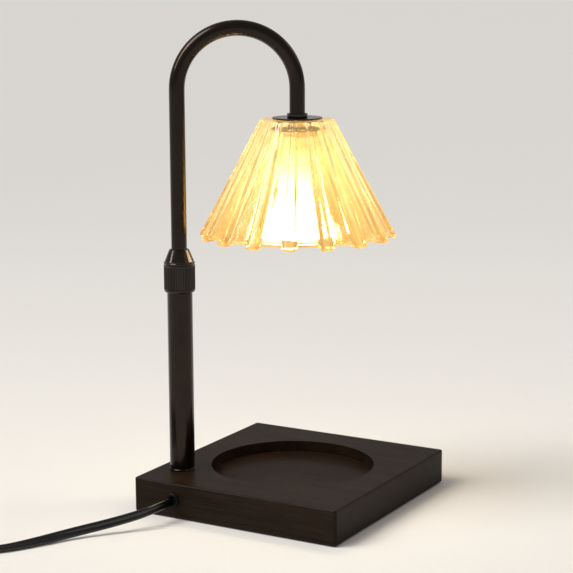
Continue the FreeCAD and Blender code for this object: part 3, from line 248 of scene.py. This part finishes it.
def amber_glass(sizes, colours):
    """Pressed amber glass, lit by its bulb: fine streaks run down it, the tint deepens towards the rim,
    painted shade darkens both flanks of each rib where the cosine of the ribs' angle passes RIB_FLANK, and a
    painted glow fades towards the rim and the top."""
    made = Finish("amber_glass", Transmission_Weight=1.0, IOR=1.46, Emission_Strength=0.24)
    x, y, height = made.node("ShaderNodeSeparateXYZ", {}, {"Vector": made.spots()})
    centre = middle("head_disc")
    around = x.math("ARCTAN2", y - centre.y, x - centre.x)
    swing = x.math("COSINE", (around - sizes.lobe_phase) * sizes.lobes, 0.0) - RIB_FLANK
    # painted shade: both flanks of each rib are darkened in the base colour and in the glow
    painted_flank_shade = made.fit(swing * swing, 0.0, 0.08, 1.0, 0.0)
    streaks = made.fit(made.noise(made.spots((1, 1, 0.12)), 240.0, 4.0), 0.38, 0.62)
    ripples = made.noise(made.spots((1, 1, 0.25)), 90.0, 4.0)
    deep = made.fit(height, *TINT_HEIGHTS, 0.1, 0.9)
    tint = made.blend(deep, rgba(colours.glass_light), rgba(colours.glass_deep))
    tint = made.blend(streaks * 0.4, tint, shade_of(colours.glass_deep, 0.85))
    made.paint("Base Color", made.blend(painted_flank_shade * 0.75, tint, shade_of(colours.glass_deep, 0.42)))
    made.paint("Roughness", made.fit(ripples, 0.3, 0.75, 0.0, 0.06))
    # painted glow: emission on the glass stands in for the bulb's light shining through it
    glow = made.fit(height, *GLOW_FROM_RIM, 0.1, 1.0) * made.fit(height, *GLOW_FROM_TOP, 0.15, 1.0)
    lit = glow * (1.0 - streaks * 0.5) * (1.0 - painted_flank_shade * 0.8)
    made.paint("Emission Color", made.blend(lit, shade_of(colours.glass_deep, 0.5),
                                            rgba(colours.glass_light)))
    made.relief(ripples * 0.6 + streaks * 0.4, 0.0005, 0.4)
    return made.material


def glowing(name, colour, strength, low, high, share):
    """Lit glass of the bulb, or glaze given a painted glow: a warm, slightly cloudy glow that fades to a
    share of its colour from one height to another."""
    made = Finish(name, Roughness=0.3, Emission_Strength=strength)
    height = made.node("ShaderNodeSeparateXYZ", {}, {"Vector": made.spots()})[2]
    cloud = made.noise(made.spots(), 60.0, 2.0)
    fade = made.fit(height, low, high, 0.0, 1.0) * (1.0 - cloud * 0.1)
    made.paint("Base Color", made.blend(cloud, shade_of(colour, 0.8), rgba(colour)))
    made.paint("Emission Color", made.blend(fade, rgba(colour), shade_of(colour, share)))
    return made.material


# Surfaces
def surface(name, points, closed_rows, closed_columns, material, smooth=True):
    """A mesh over a grid of points, rows by columns, joined round where asked; doubled points at poles are
    merged and the faces turned outwards."""
    rows, columns = points.shape[:2]
    index = np.arange(rows * columns).reshape(rows, columns)
    if closed_rows:
        index = np.vstack([index, index[:1]])
    if closed_columns:
        index = np.hstack([index, index[:, :1]])
    faces = np.stack([index[:-1, :-1], index[:-1, 1:], index[1:, 1:], index[1:, :-1]], axis=-1).reshape(-1, 4)
    mesh = bpy.data.meshes.new(name)
    mesh.from_pydata(points.reshape(-1, 3).tolist(), [], faces.tolist())
    work = bmesh.new()
    work.from_mesh(mesh)
    bmesh.ops.remove_doubles(work, verts=work.verts, dist=1e-7)
    bmesh.ops.recalc_face_normals(work, faces=work.faces)
    work.to_mesh(mesh)
    work.free()
    if smooth:
        mesh.shade_smooth()
    mesh.materials.append(material)
    made = bpy.data.objects.new(name, mesh)
    bpy.context.scene.collection.objects.link(made)
    return made


def turned(profile, centre, count, ripple=None):
    """A surface of revolution: each (radius, height) station turned about the upright axis through centre;
    ripple adds to the radius at each angle and station."""
    angles = np.linspace(0, 2 * np.pi, count, endpoint=False)
    stations = np.array(profile, float)
    radius = np.repeat(stations[:, :1].T, count, axis=0)
    if ripple is not None:
        radius = radius + ripple(angles[:, None], stations[None, :, 0], stations[None, :, 1])
    height = np.repeat(stations[:, 1:].T, count, axis=0)
    return np.stack([centre[0] + radius * np.cos(angles)[:, None],
                     centre[1] + radius * np.sin(angles)[:, None], height], axis=-1)


def smooth_step(value, low, high):
    """0 below low, 1 above high, and a smooth S between them."""
    share = np.clip((value - low) / (high - low), 0, 1)
    return share * share * (3 - 2 * share)


def finished(made, body, slot_name, *nodes):
    """The piece rides on a body and stands for its CAD nodes, which are hidden; the slot name is not used."""
    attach(made, body)
    if nodes:
        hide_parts(*nodes)
    return made


def dress(material, *names):
    """Give CAD nodes their material."""
    for name in names:
        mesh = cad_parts[name].data
        mesh.materials.clear()
        mesh.materials.append(material)


# What a user would change
class LampColours(PropertyGroup):
    wood: FloatVectorProperty(name="Wood", description="Stain of the wooden base", subtype="COLOR",
                              default=(0.0125, 0.0070, 0.0038), min=0, max=1)
    bronze: FloatVectorProperty(name="Bronze", description="Lacquer of the pole, collar and crook",
                                subtype="COLOR", default=(0.020, 0.0135, 0.0095), min=0, max=1)
    glass_light: FloatVectorProperty(name="Glass, upper", description="Tint of the glass near its top",
                                     subtype="COLOR", default=(1.0, 0.85, 0.47), min=0, max=1)
    glass_deep: FloatVectorProperty(name="Glass, rim", description="Tint of the glass near its rim",
                                    subtype="COLOR", default=(1.0, 0.60, 0.18), min=0, max=1)
    glow: FloatVectorProperty(name="Glow", description="Colour of the lit bulb", subtype="COLOR",
                              default=(1.0, 0.86, 0.62), min=0, max=1)
    cord: FloatVectorProperty(name="Cord", description="Colour of the cord, dimmer and plug",
                              subtype="COLOR", default=(0.0045, 0.0042, 0.0042), min=0, max=1)


class LampSizes(PropertyGroup):
    lobes: IntProperty(name="Lobes", description="Ribs round the glass shade", default=16, min=3)
    lobe_phase: FloatProperty(name="First rib", description="Where the first rib stands round the shade",
                              subtype="ANGLE", default=math.radians(1.9))
    rib_rise: FloatProperty(name="Rib rise", description="How far a rib stands out at the rim",
                            unit="LENGTH", default=3.0 * MM)
    rim_notch: FloatProperty(name="Rim notch", description="How much higher the rim is between ribs",
                             unit="LENGTH", default=2.2 * MM)
    knurls: IntProperty(name="Knurls", description="Fine ridges round the collar nut", default=52, min=12)
    knurl_depth: FloatProperty(name="Knurl depth", description="Depth of the collar's ridges",
                               unit="LENGTH", default=0.42 * MM)
    bulb_power: FloatProperty(name="Bulb glow", description="Strength of the lit bulb's glow", default=13.0,
                              min=0)


class StageLook(PropertyGroup):
    floor: FloatVectorProperty(name="Floor", description="Colour of the floor and backdrop", subtype="COLOR",
                               default=(0.86, 0.84, 0.81), min=0, max=1)
    key: FloatProperty(name="Key light", description="Strength of the large soft light", default=1.85, min=0)
    strip: FloatProperty(name="Strip lights", description="Power of the narrow upright lights", unit="POWER",
                         default=2.4, min=0)
    fill: FloatProperty(name="Sky light", description="Strength of the even light all round", default=0.36,
                        min=0)
    backdrop: FloatProperty(name="Backdrop", description="Brightness of the backdrop behind the floor",
                            default=0.8, min=0)


class LAMP_OT_stage(Operator):
    """Sets the pale floor, the soft lights and the camera at the photograph's viewing angle"""
    bl_idname = "lamp.stage"
    bl_label = "Stage"

    def execute(self, context):
        look = context.scene.stage_look
        floor = Finish("stage_floor")
        cloud = floor.noise(floor.spots(), 3.0, 2.0)
        floor.paint("Base Color", floor.blend(cloud, shade_of(look.floor, 0.99), rgba(look.floor)))
        floor.paint("Roughness", floor.fit(cloud, 0.0, 1.0, 0.75, 0.85))
        spread = np.linspace(-FLOOR_REACH, FLOOR_REACH, 3)
        across, along = np.meshgrid(spread, spread, indexing="ij")
        plane = surface("stage_floor", np.stack([across, along, np.zeros_like(across)], axis=-1),
                        False, False, floor.material)
        self.world(context, look)
        self.sun(look.key)
        self.lamp("left_strip", look.strip, (-0.9, -0.85, 1.0), 0.3, 0.7, (1.0, 0.92, 0.8))
        self.lamp("right_strip", look.strip * 0.15, (0.7, 1.1, 0.9), 0.3, 0.6, (1.0, 0.75, 0.5))
        context.scene.view_settings.view_transform = "Standard"
        self.camera(context)
        return {"FINISHED"}

    def world(self, context, look):
        """An even sky that the camera, gloss and glass see as a pale backdrop."""
        world = bpy.data.worlds.new("studio")
        context.scene.world = world
        world.use_nodes = True
        nodes, links = world.node_tree.nodes, world.node_tree.links
        nodes.clear()
        light, back = nodes.new("ShaderNodeBackground"), nodes.new("ShaderNodeBackground")
        light.inputs["Color"].default_value = (1.0, 0.98, 0.95, 1.0)
        light.inputs["Strength"].default_value = look.fill
        back.inputs["Color"].default_value = rgba(look.floor)
        back.inputs["Strength"].default_value = look.backdrop
        rays = nodes.new("ShaderNodeLightPath")
        seen = nodes.new("ShaderNodeMath")
        seen.operation = "MAXIMUM"
        links.new(rays.outputs["Is Camera Ray"], seen.inputs[0])
        links.new(rays.outputs["Is Transmission Ray"], seen.inputs[1])
        mix, out = nodes.new("ShaderNodeMixShader"), nodes.new("ShaderNodeOutputWorld")
        links.new(seen.outputs[0], mix.inputs[0])
        links.new(light.outputs[0], mix.inputs[1])
        links.new(back.outputs[0], mix.inputs[2])
        links.new(mix.outputs[0], out.inputs["Surface"])

    def sun(self, strength):
        """An even soft light from the upper left front."""
        data = bpy.data.lights.new("soft_key", "SUN")
        data.energy, data.angle = strength, math.radians(KEY_WIDTH)
        made = bpy.data.objects.new("soft_key", data)
        made.rotation_euler = Vector(KEY_AHEAD).to_track_quat("-Z", "Y").to_euler()
        bpy.context.scene.collection.objects.link(made)

    def lamp(self, name, power, place, size, tall, colour):
        """A narrow upright soft light that looks at the middle of the lamp."""
        data = bpy.data.lights.new(name, "AREA")
        data.shape = "RECTANGLE"
        data.energy, data.size, data.size_y, data.color = power, size, tall, colour
        data.spread = math.radians(STRIP_SPREAD)
        made = bpy.data.objects.new(name, data)
        made.location = place
        made.rotation_euler = (Vector(STRIP_AIM) - Vector(place)).to_track_quat("-Z", "Y").to_euler()
        bpy.context.scene.collection.objects.link(made)

    def camera(self, context):
        """The camera as solved from the base's corners: place, bearing, pitch, roll and focal length."""
        bearing, pitch, roll = (math.radians(a) for a in (CAMERA_BEARING, CAMERA_PITCH, CAMERA_ROLL))
        ahead = Vector((-math.sin(bearing) * math.cos(pitch), math.cos(bearing) * math.cos(pitch),
                        -math.sin(pitch)))
        level = Vector((math.cos(bearing), math.sin(bearing), 0))
        up = level.cross(ahead)
        right = level * math.cos(roll) + up * math.sin(roll)
        top = right.cross(ahead)
        data = bpy.data.cameras.new("camera")
        data.sensor_width, data.lens = FILM_WIDTH, CAMERA_LENS
        data.clip_start, data.clip_end = 0.05, 20.0
        made = bpy.data.objects.new("camera", data)
        turn = Matrix((right, top, -ahead)).transposed().to_4x4()
        made.matrix_world = Matrix.Translation(CAMERA_PLACE) @ turn
        context.scene.collection.objects.link(made)
        context.scene.camera = made


class LAMP_OT_base(Operator):
    """Stains the wooden base and finishes what is fixed under it"""
    bl_idname = "lamp.base"
    bl_label = "Wooden base"

    def execute(self, context):
        colours = context.scene.lamp_colours
        dress(stained_wood(colours), "base_block")
        dress(moulded("black_board", (0.05, 0.045, 0.04), rough=0.7, grain=500.0, depth=0.00006),
              "base_cover")
        dress(moulded("black_rubber", (0.03, 0.03, 0.03), rough=0.65, grain=1500.0, depth=0.00004),
              "rubber_feet")
        dress(bright_metal("zinc_steel", (0.62, 0.62, 0.6), rough=0.28), "cover_screws", "pole_stud",
              "stud_washer", "stud_nut", "cord_clamp", "clamp_screws", "dimmer_screws", "guide_clip",
              "head_nipple", "bulb_pins")
        dress(bright_metal("brass", (0.78, 0.6, 0.3), rough=0.22), "terminal_screws", "holder_contacts",
              "shade_ring_nut")
        dress(moulded("nylon", (0.8, 0.78, 0.72), rough=0.45), "terminal_block", "split_sleeve", "guide_ring",
              "end_bush")
        dress(woven_sleeve(SLEEVE_WHITE), "base_lead", "arch_lead")
        return {"FINISHED"}


class LAMP_OT_pole(Operator):
    """Lacquers the pole, the crook, the neck ring and the disc"""
    bl_idname = "lamp.pole"
    bl_label = "Pole and crook"

    def execute(self, context):
        colours = context.scene.lamp_colours
        dress(dark_bronze(colours), "lower_tube", "arch_tube")
        dress(dark_bronze(colours, "turned_bronze", along=(0.05, 0.05, 1), gloss=0.14, coat=0.6),
              "foot_plug", "neck_ring", "head_disc")
        return {"FINISHED"}


class LAMP_OT_collar(Operator):
    """Turns the knurled collar nut with its bevels and cone"""
    bl_idname = "lamp.collar"
    bl_label = "Collar nut"

    def execute(self, context):
        sizes, colours = context.scene.lamp_sizes, context.scene.lamp_colours
        low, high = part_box("collar_nut")
        radius, bottom, top = width("collar_nut") / 2, low.z, high.z
        shoulder = bottom + 20.0 * MM
        bore, mouth, tip = 8.42 * MM, 5.45 * MM, 6.45 * MM
        bore_top = bottom + 15.9 * MM
        outside = [
            (bore, bottom), (radius - 1.0 * MM, bottom), (radius - 0.45 * MM, bottom + 0.25 * MM),
            (radius - 0.1 * MM, bottom + 0.75 * MM), (radius - 0.1 * MM, bottom + 1.3 * MM)]
        knurl_low, knurl_high = bottom + 1.6 * MM, shoulder - 2.0 * MM
        for step in np.linspace(0, 1, 12):
            outside.append((radius, knurl_low + (knurl_high - knurl_low) * step))
        outside += [
            (radius - 0.45 * MM, shoulder - 1.8 * MM), (radius - 0.45 * MM, shoulder - 1.35 * MM),
            (radius - 0.02 * MM, shoulder - 1.15 * MM), (radius - 0.02 * MM, shoulder - 0.5 * MM),
            (radius - 0.4 * MM, shoulder - 0.1 * MM), (radius - 0.7 * MM, shoulder + 0.15 * MM)]
        foot = radius - 0.5 * MM
        for step in np.linspace(0.06, 0.94, 6):
            outside.append((foot + (tip - foot) * step, shoulder + (top - shoulder) * step))
        outside += [(tip, top - 0.35 * MM), (tip - 0.1 * MM, top - 0.1 * MM), (tip - 0.35 * MM, top),
                    (mouth, top), (mouth, top - 5.7 * MM), (6.6 * MM, top - 5.8 * MM),
                    (8.0 * MM, bore_top), (bore, bore_top)]

        def ripple(angle, r, z):
            """Upright V ridges: the radius falls by the depth between them, only along the knurled band."""
            band = smooth_step(z, knurl_low - 0.2 * MM, knurl_low + 0.5 * MM) * (
                1 - smooth_step(z, knurl_high - 0.5 * MM, knurl_high + 0.05 * MM))
            wave = np.abs((angle * sizes.knurls / (2 * np.pi)) % 1.0 * 2 - 1)
            return -sizes.knurl_depth * wave * band * (r > radius - 0.05 * MM)

        points = turned(outside, middle("collar_nut"), sizes.knurls * 6, ripple)
        metal = dark_bronze(colours, "collar_bronze", along=(1, 1, 0.05), gloss=0.17, coat=0.6)
        made = surface("knurled_collar", points, True, True, metal, smooth=False)
        finished(made, "collar", "bronze_metal", "collar_nut")
        return {"FINISHED"}


class LAMP_OT_shade(Operator):
    """Presses the fluted amber glass shade, from its rim tabs to its thick top plate"""
    bl_idname = "lamp.shade"
    bl_label = "Glass shade"

    def execute(self, context):
        sizes, colours = context.scene.lamp_sizes, context.scene.lamp_colours
        low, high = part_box("glass_shade")
        centre = middle("head_disc")
        rim, top = low.z, high.z
        outer_rim, outer_top, inner_rim, inner_top = 62.6 * MM, 23.6 * MM, 56.6 * MM, 17.4 * MM
        plate, shoulder, hole = top - 7.8 * MM, top - 1.4 * MM, 4.3 * MM
        rows = []

        def wall(start, end, steps, rise):
            """Stations from one (radius, height) to another, with the ribs' rise beside each."""
            for share in np.linspace(0, 1, steps):
                r = start[0] + (end[0] - start[0]) * share
                z = start[1] + (end[1] - start[1]) * share
                rows.append((r, z, rise * r / outer_rim))

        rise = sizes.rib_rise
        wall((outer_rim - 0.5 * MM, rim + 0.9 * MM), (outer_top, shoulder), 44, rise)
        rows += [(outer_top - 0.35 * MM, shoulder + 0.75 * MM, rise * 0.3),
                 (outer_top - 1.0 * MM, top - 0.2 * MM, rise * 0.22),
                 (outer_top - 1.9 * MM, top, rise * 0.15), (outer_top - 5 * MM, top, 0.0), (hole, top, 0.0)]
        rows += [(hole, plate, 0.0), (inner_top - 2.2 * MM, plate, 0.0),
                 (inner_top - 0.8 * MM, plate - 0.25 * MM, rise * 0.1),
                 (inner_top, plate - 1.2 * MM, rise * 0.15)]
        wall((inner_top + 0.6 * MM, plate - 2.4 * MM), (inner_rim - 0.3 * MM, rim + 1.0 * MM), 34,
             rise * 0.55)
        rows += [(inner_rim + 0.3 * MM, rim + 0.35 * MM, rise * 0.55),
                 (inner_rim + 1.2 * MM, rim, rise * 0.6), (outer_rim - 2.2 * MM, rim, rise * 0.85),
                 (outer_rim - 0.9 * MM, rim + 0.25 * MM, rise * 0.95)]
        stations = np.array(rows)
        per_rib = 26
        count = sizes.lobes * per_rib
        angle = np.linspace(0, 2 * np.pi, count, endpoint=False)[:, None]
        # apart goes from 0 on a rib's crest to 1 midway between two: the radius gains the rise on the rounded
        # crest and loses a tenth of it midway, and the rim lifts between ribs, less and less up to 7 mm above
        apart = np.abs(((angle - sizes.lobe_phase) * sizes.lobes / (2 * np.pi) + 0.5) % 1.0 - 0.5) * 2
        rib = 1 - smooth_step(apart, 0.20, 0.43)
        crown = rib * (1 - 0.18 * (apart / 0.4) ** 2) - 0.10 * smooth_step(apart, 0.5, 1.0)
        radius = stations[None, :, 0] + stations[None, :, 2] * crown
        near = 1 - smooth_step(stations[None, :, 1], rim, rim + 7 * MM)
        lift = sizes.rim_notch * smooth_step(apart, 0.30, 0.46) * near
        points = np.stack([centre.x + radius * np.cos(angle), centre.y + radius * np.sin(angle),
                           np.repeat(stations[None, :, 1], count, axis=0) + lift], axis=-1)
        made = surface("fluted_glass", points, True, True, amber_glass(sizes, colours))
        finished(made, "crook", "amber_glass", "glass_shade")
        return {"FINISHED"}


class LAMP_OT_bulb(Operator):
    """Lights the reflector bulb and finishes the lampholder, whose glaze gets a painted glow"""
    bl_idname = "lamp.bulb"
    bl_label = "Bulb and holder"

    def execute(self, context):
        sizes, colours = context.scene.lamp_sizes, context.scene.lamp_colours
        low, high = (corner.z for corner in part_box("bulb_body"))
        dress(glowing("bulb_reflector", colours.glow, sizes.bulb_power, low, high, share=0.1), "bulb_body")
        dress(glowing("bulb_front", colours.glow, sizes.bulb_power, low, high, share=0.4), "bulb_lens")
        low, high = (corner.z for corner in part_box("holder_body"))
        # The lampholder is no lamp: its emission is a painted glow standing in for the bulb's light on it
        dress(glowing("glazed_ceramic_painted_glow", colours.glow, 1.6, low, high, share=0.2), "holder_body", "holder_cap")
        dress(moulded("silicone", (0.72, 0.55, 0.3), rough=0.55), "shade_gasket")
        return {"FINISHED"}


# The cord's route, repeated from the part's source in metres, with the twist of the flat cord at each point
ROUTE = [
    ((-0.0451, -0.0806, 0.0124), 90), ((-0.0466, -0.1030, 0.0114), 90), ((-0.0615, -0.1215, 0.0072), 86),
    ((-0.0770, -0.1410, 0.0042), 70), ((-0.0885, -0.1640, 0.0029), 36), ((-0.1010, -0.1850, 0.0021), 8),
    ((-0.1135, -0.1950, 0.0030), 0), ((-0.1270, -0.1970, 0.0047), 0),
]


def coil_route():
    """The second cord: from the dimmer into a flat spiral that winds in, climbs a layer, winds out and rises
    into the plug; the radius falls by a pitch a turn and then grows again."""
    points = [(-0.1850, -0.1970, 0.0047), (-0.1925, -0.1970, 0.0045), (-0.2030, -0.1950, 0.0032)]
    per_turn = 16
    for step in range(int((2 * COIL_TURNS + 0.25) * per_turn) + 1):
        turn = step / per_turn
        radius = COIL_RADIUS - COIL_PITCH * min(turn, 2 * COIL_TURNS - turn)
        angle = -math.pi / 2 - 2 * math.pi * turn
        climb = min(max((turn - COIL_TURNS) / 0.5 + 0.5, 0.0), 1.0)
        rise = min(max((turn - 2 * COIL_TURNS + 0.35) / 0.6, 0.0), 1.0)
        height = COIL_LOW + COIL_LAYER * climb + (PLUG_LEVEL - COIL_LOW - COIL_LAYER) * rise
        points.append((COIL_CENTRE[0] + radius * math.cos(angle),
                       COIL_CENTRE[1] + radius * math.sin(angle), height))
    last = points[-1]
    points += [(last[0], last[1] + 12.0 * MM, PLUG_LEVEL), (last[0], last[1] + 18.2 * MM, PLUG_LEVEL)]
    return points


def spline_points(name, points):
    """The points of a smooth NURBS curve through a route, read from it as a mesh."""
    curve = bpy.data.curves.new(name, "CURVE")
    curve.dimensions = "3D"
    curve.resolution_u = 10
    spline = curve.splines.new("NURBS")
    spline.points.add(len(points) - 1)
    spline.points.foreach_set("co", np.hstack([np.array(points), np.ones((len(points), 1))]).ravel())
    spline.order_u = 3
    spline.use_endpoint_u = True
    helper = bpy.data.objects.new(name, curve)
    bpy.context.scene.collection.objects.link(helper)
    bpy.context.view_layer.update()
    mesh = bpy.data.meshes.new_from_object(helper)
    line = np.zeros(len(mesh.vertices) * 3)
    mesh.vertices.foreach_get("co", line)
    bpy.data.meshes.remove(mesh)
    bpy.data.objects.remove(helper)
    return line.reshape(-1, 3)


def along(line):
    """Distances along a line of points, from 0."""
    return np.concatenate([[0], np.cumsum(np.linalg.norm(np.diff(line, axis=0), axis=1))])


def capped(line, rings):
    """Rings of points along a line, with each end closed on the line's own end."""
    ends = [np.repeat(line[i][None, None, :], rings.shape[1], axis=1) for i in (0, -1)]
    return np.concatenate([ends[0], rings, ends[1]])


def swept(line, section, twist, grow=1.0):
    """A section carried along a line: its width lies level and across the line, turned by the twist about the
    line; both ends close on the line."""
    tangent = np.gradient(line, axis=0)
    tangent /= np.linalg.norm(tangent, axis=1)[:, None]
    side = np.cross(tangent, [0.0, 0.0, 1.0])
    side /= np.linalg.norm(side, axis=1)[:, None]
    up = np.cross(side, tangent)
    turn = np.radians(twist)[:, None]
    wide = side * np.cos(turn) + up * np.sin(turn)
    thick = up * np.cos(turn) - side * np.sin(turn)
    size = np.broadcast_to(grow, (len(line),))[:, None, None]
    rings = line[:, None, :] + size * (section[None, :, :1] * wide[:, None, :]
                                       + section[None, :, 1:] * thick[:, None, :])
    return capped(line, rings)


def twin_section(wide, thick, web=0.42, count=28):
    """Two round cores side by side: the height follows each core's circle, but between them it is never less
    than the web, a share of a core's radius."""
    turn = np.linspace(0, 2 * np.pi, count, endpoint=False)
    x = wide / 2 * np.cos(turn)
    core = thick / 2
    height = np.sqrt(np.maximum(core ** 2 - (np.abs(x) - (wide / 2 - core)) ** 2, 0))
    height = np.where(np.abs(x) < wide / 2 - core, np.maximum(height, core * web), height)
    return np.stack([x, np.sign(np.sin(turn)) * height], axis=-1)


def oval_section(wide, thick, power=0.7, count=32):
    """A rounded box: cosine and sine with their sizes raised to a power below 1."""
    turn = np.linspace(0, 2 * np.pi, count, endpoint=False)
    round_off = [np.sign(share) * np.abs(share) ** power for share in (np.cos(turn), np.sin(turn))]
    return np.stack([wide / 2 * round_off[0], thick / 2 * round_off[1]], axis=-1)


class LAMP_OT_cord(Operator):
    """Lays the flat twin cord on the floor, winds the rest and adds the strain reliefs and the slack lead"""
    bl_idname = "lamp.cord"
    bl_label = "Cord"

    def execute(self, context):
        colours = context.scene.lamp_colours
        skin = moulded("cord_skin", colours.cord, rough=0.17, grain=700.0)
        section = twin_section(CORD_WIDE, CORD_THICK)
        run = spline_points("run_line", [spot for spot, _ in ROUTE])
        control = along(np.array([spot for spot, _ in ROUTE]))
        reach = along(run)
        twist = np.interp(reach / reach[-1], control / control[-1], [angle for _, angle in ROUTE])
        lead = surface("cord_on_table", swept(run, section, twist), False, True, skin)
        finished(lead, "base", "black_pvc", "cord_run")
        coil = spline_points("coil_line", coil_route())
        wound = surface("cord_wound", swept(coil, section, np.zeros(len(coil))), False, True, skin)
        finished(wound, "base", "black_pvc", "cord_coil")
        self.slack_lead()
        dress(moulded("bushing_nylon", colours.cord, rough=0.4, shine=0.12), "cord_bushing", "cord_tail")
        rubber = moulded("relief_rubber", colours.cord, rough=0.35, grain=1400.0, depth=0.00004)
        for name, line in (("dimmer_relief_in", run[::-1]), ("dimmer_relief_out", coil),
                           ("plug_relief", coil[::-1])):
            self.relief(name, line, rubber)
        return {"FINISHED"}

    def slack_lead(self):
        """The spare length of lead inside the pole: level rings along a curve that winds gently upwards, its
        sway the sine of the share of the height."""
        centre, (low, high) = middle("lower_tube"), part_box("slack_lead")
        widest, wind, sides = 2.0 * MM, 6, 20
        share = np.linspace(0, 1, 9)
        sway = widest * np.sin(np.pi * share)
        line = spline_points("slack_line", np.stack([
            centre.x + sway * np.cos(wind * share), centre.y + sway * np.sin(wind * share),
            low.z + (high.z - low.z) * share], axis=-1))
        turn = np.linspace(0, 2 * np.pi, sides, endpoint=False)
        ring = LEAD_RADIUS * np.stack([np.cos(turn), np.sin(turn), np.zeros(sides)], axis=-1)
        made = surface("slack_wires", capped(line, line[:, None, :] + ring), False, True,
                       woven_sleeve(SLEEVE_WHITE))
        finished(made, "base", "lead_sleeve", "slack_lead")
        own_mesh(made)

    def relief(self, name, line, material):
        """A tapered sleeve over the cord where it leaves a fitting: it thins along its length and has grooves
        round it, where the real sleeve bends."""
        rings, stout, taper, groove = 97, 1.3, 0.26, 0.9
        share = np.linspace(0, 1, rings)
        reach = along(line)
        spine = np.stack([np.interp(share * RELIEF_LONG, reach, line[:, axis]) for axis in range(3)], axis=-1)
        ridge = np.sin(share * 2 * np.pi * RELIEF_GROOVES - 0.5) > -0.35
        plain = (share < 0.08) | (share > 0.93)
        grow = (stout - taper * share) * np.where(ridge | plain, 1.0, groove)
        section = oval_section(CORD_WIDE, CORD_THICK + 1.1 * MM)
        made = surface(name, swept(spine, section, np.zeros(len(spine)), grow), False, True, material)
        finished(made, "base", "black_rubber")


class LAMP_OT_dimmer(Operator):
    """Finishes the inline dimmer and the plug"""
    bl_idname = "lamp.dimmer"
    bl_label = "Dimmer and plug"

    def execute(self, context):
        colours = context.scene.lamp_colours
        dress(moulded("dimmer_shell", colours.cord, rough=0.3, grain=1400.0, depth=0.00005, coat=0.15),
              "dimmer_lower", "dimmer_upper", "plug_body")
        dress(moulded("wheel_plastic", (0.02, 0.02, 0.02), rough=0.4), "dimmer_wheel")
        dress(bright_metal("blade_brass", (0.8, 0.66, 0.38), rough=0.2), "plug_blades")
        return {"FINISHED"}


class LAMP_PT_panel(Panel):
    """Lists the lamp's pieces, sizes and colours"""
    bl_label = "Candle warmer lamp"
    bl_idname = "LAMP_PT_panel"
    bl_space_type = "VIEW_3D"
    bl_region_type = "UI"
    bl_category = "Lamp"

    def draw(self, context):
        for group in (context.scene.lamp_sizes, context.scene.lamp_colours, context.scene.stage_look):
            box = self.layout.box()
            for name in group.bl_rna.properties.keys():
                if name not in ("rna_type", "name"):
                    box.prop(group, name)
        for step in STEPS:
            self.layout.operator(step.bl_idname)


STEPS = (LAMP_OT_stage, LAMP_OT_base, LAMP_OT_pole, LAMP_OT_collar, LAMP_OT_shade, LAMP_OT_bulb, LAMP_OT_cord,
         LAMP_OT_dimmer)
CLASSES = (LampColours, LampSizes, StageLook, *STEPS, LAMP_PT_panel)


def register():
    for cls in CLASSES:
        bpy.utils.register_class(cls)
    bpy.types.Scene.lamp_sizes = PointerProperty(type=LampSizes)
    bpy.types.Scene.lamp_colours = PointerProperty(type=LampColours)
    bpy.types.Scene.stage_look = PointerProperty(type=StageLook)


def unregister():
    del bpy.types.Scene.stage_look
    del bpy.types.Scene.lamp_colours
    del bpy.types.Scene.lamp_sizes
    for cls in reversed(CLASSES):
        bpy.utils.unregister_class(cls)


def main():
    """Makes every piece in order."""
    register()
    for step in STEPS:
        group, name = step.bl_idname.split(".")
        getattr(getattr(bpy.ops, group), name)()


if __name__ == "__main__":
    main()
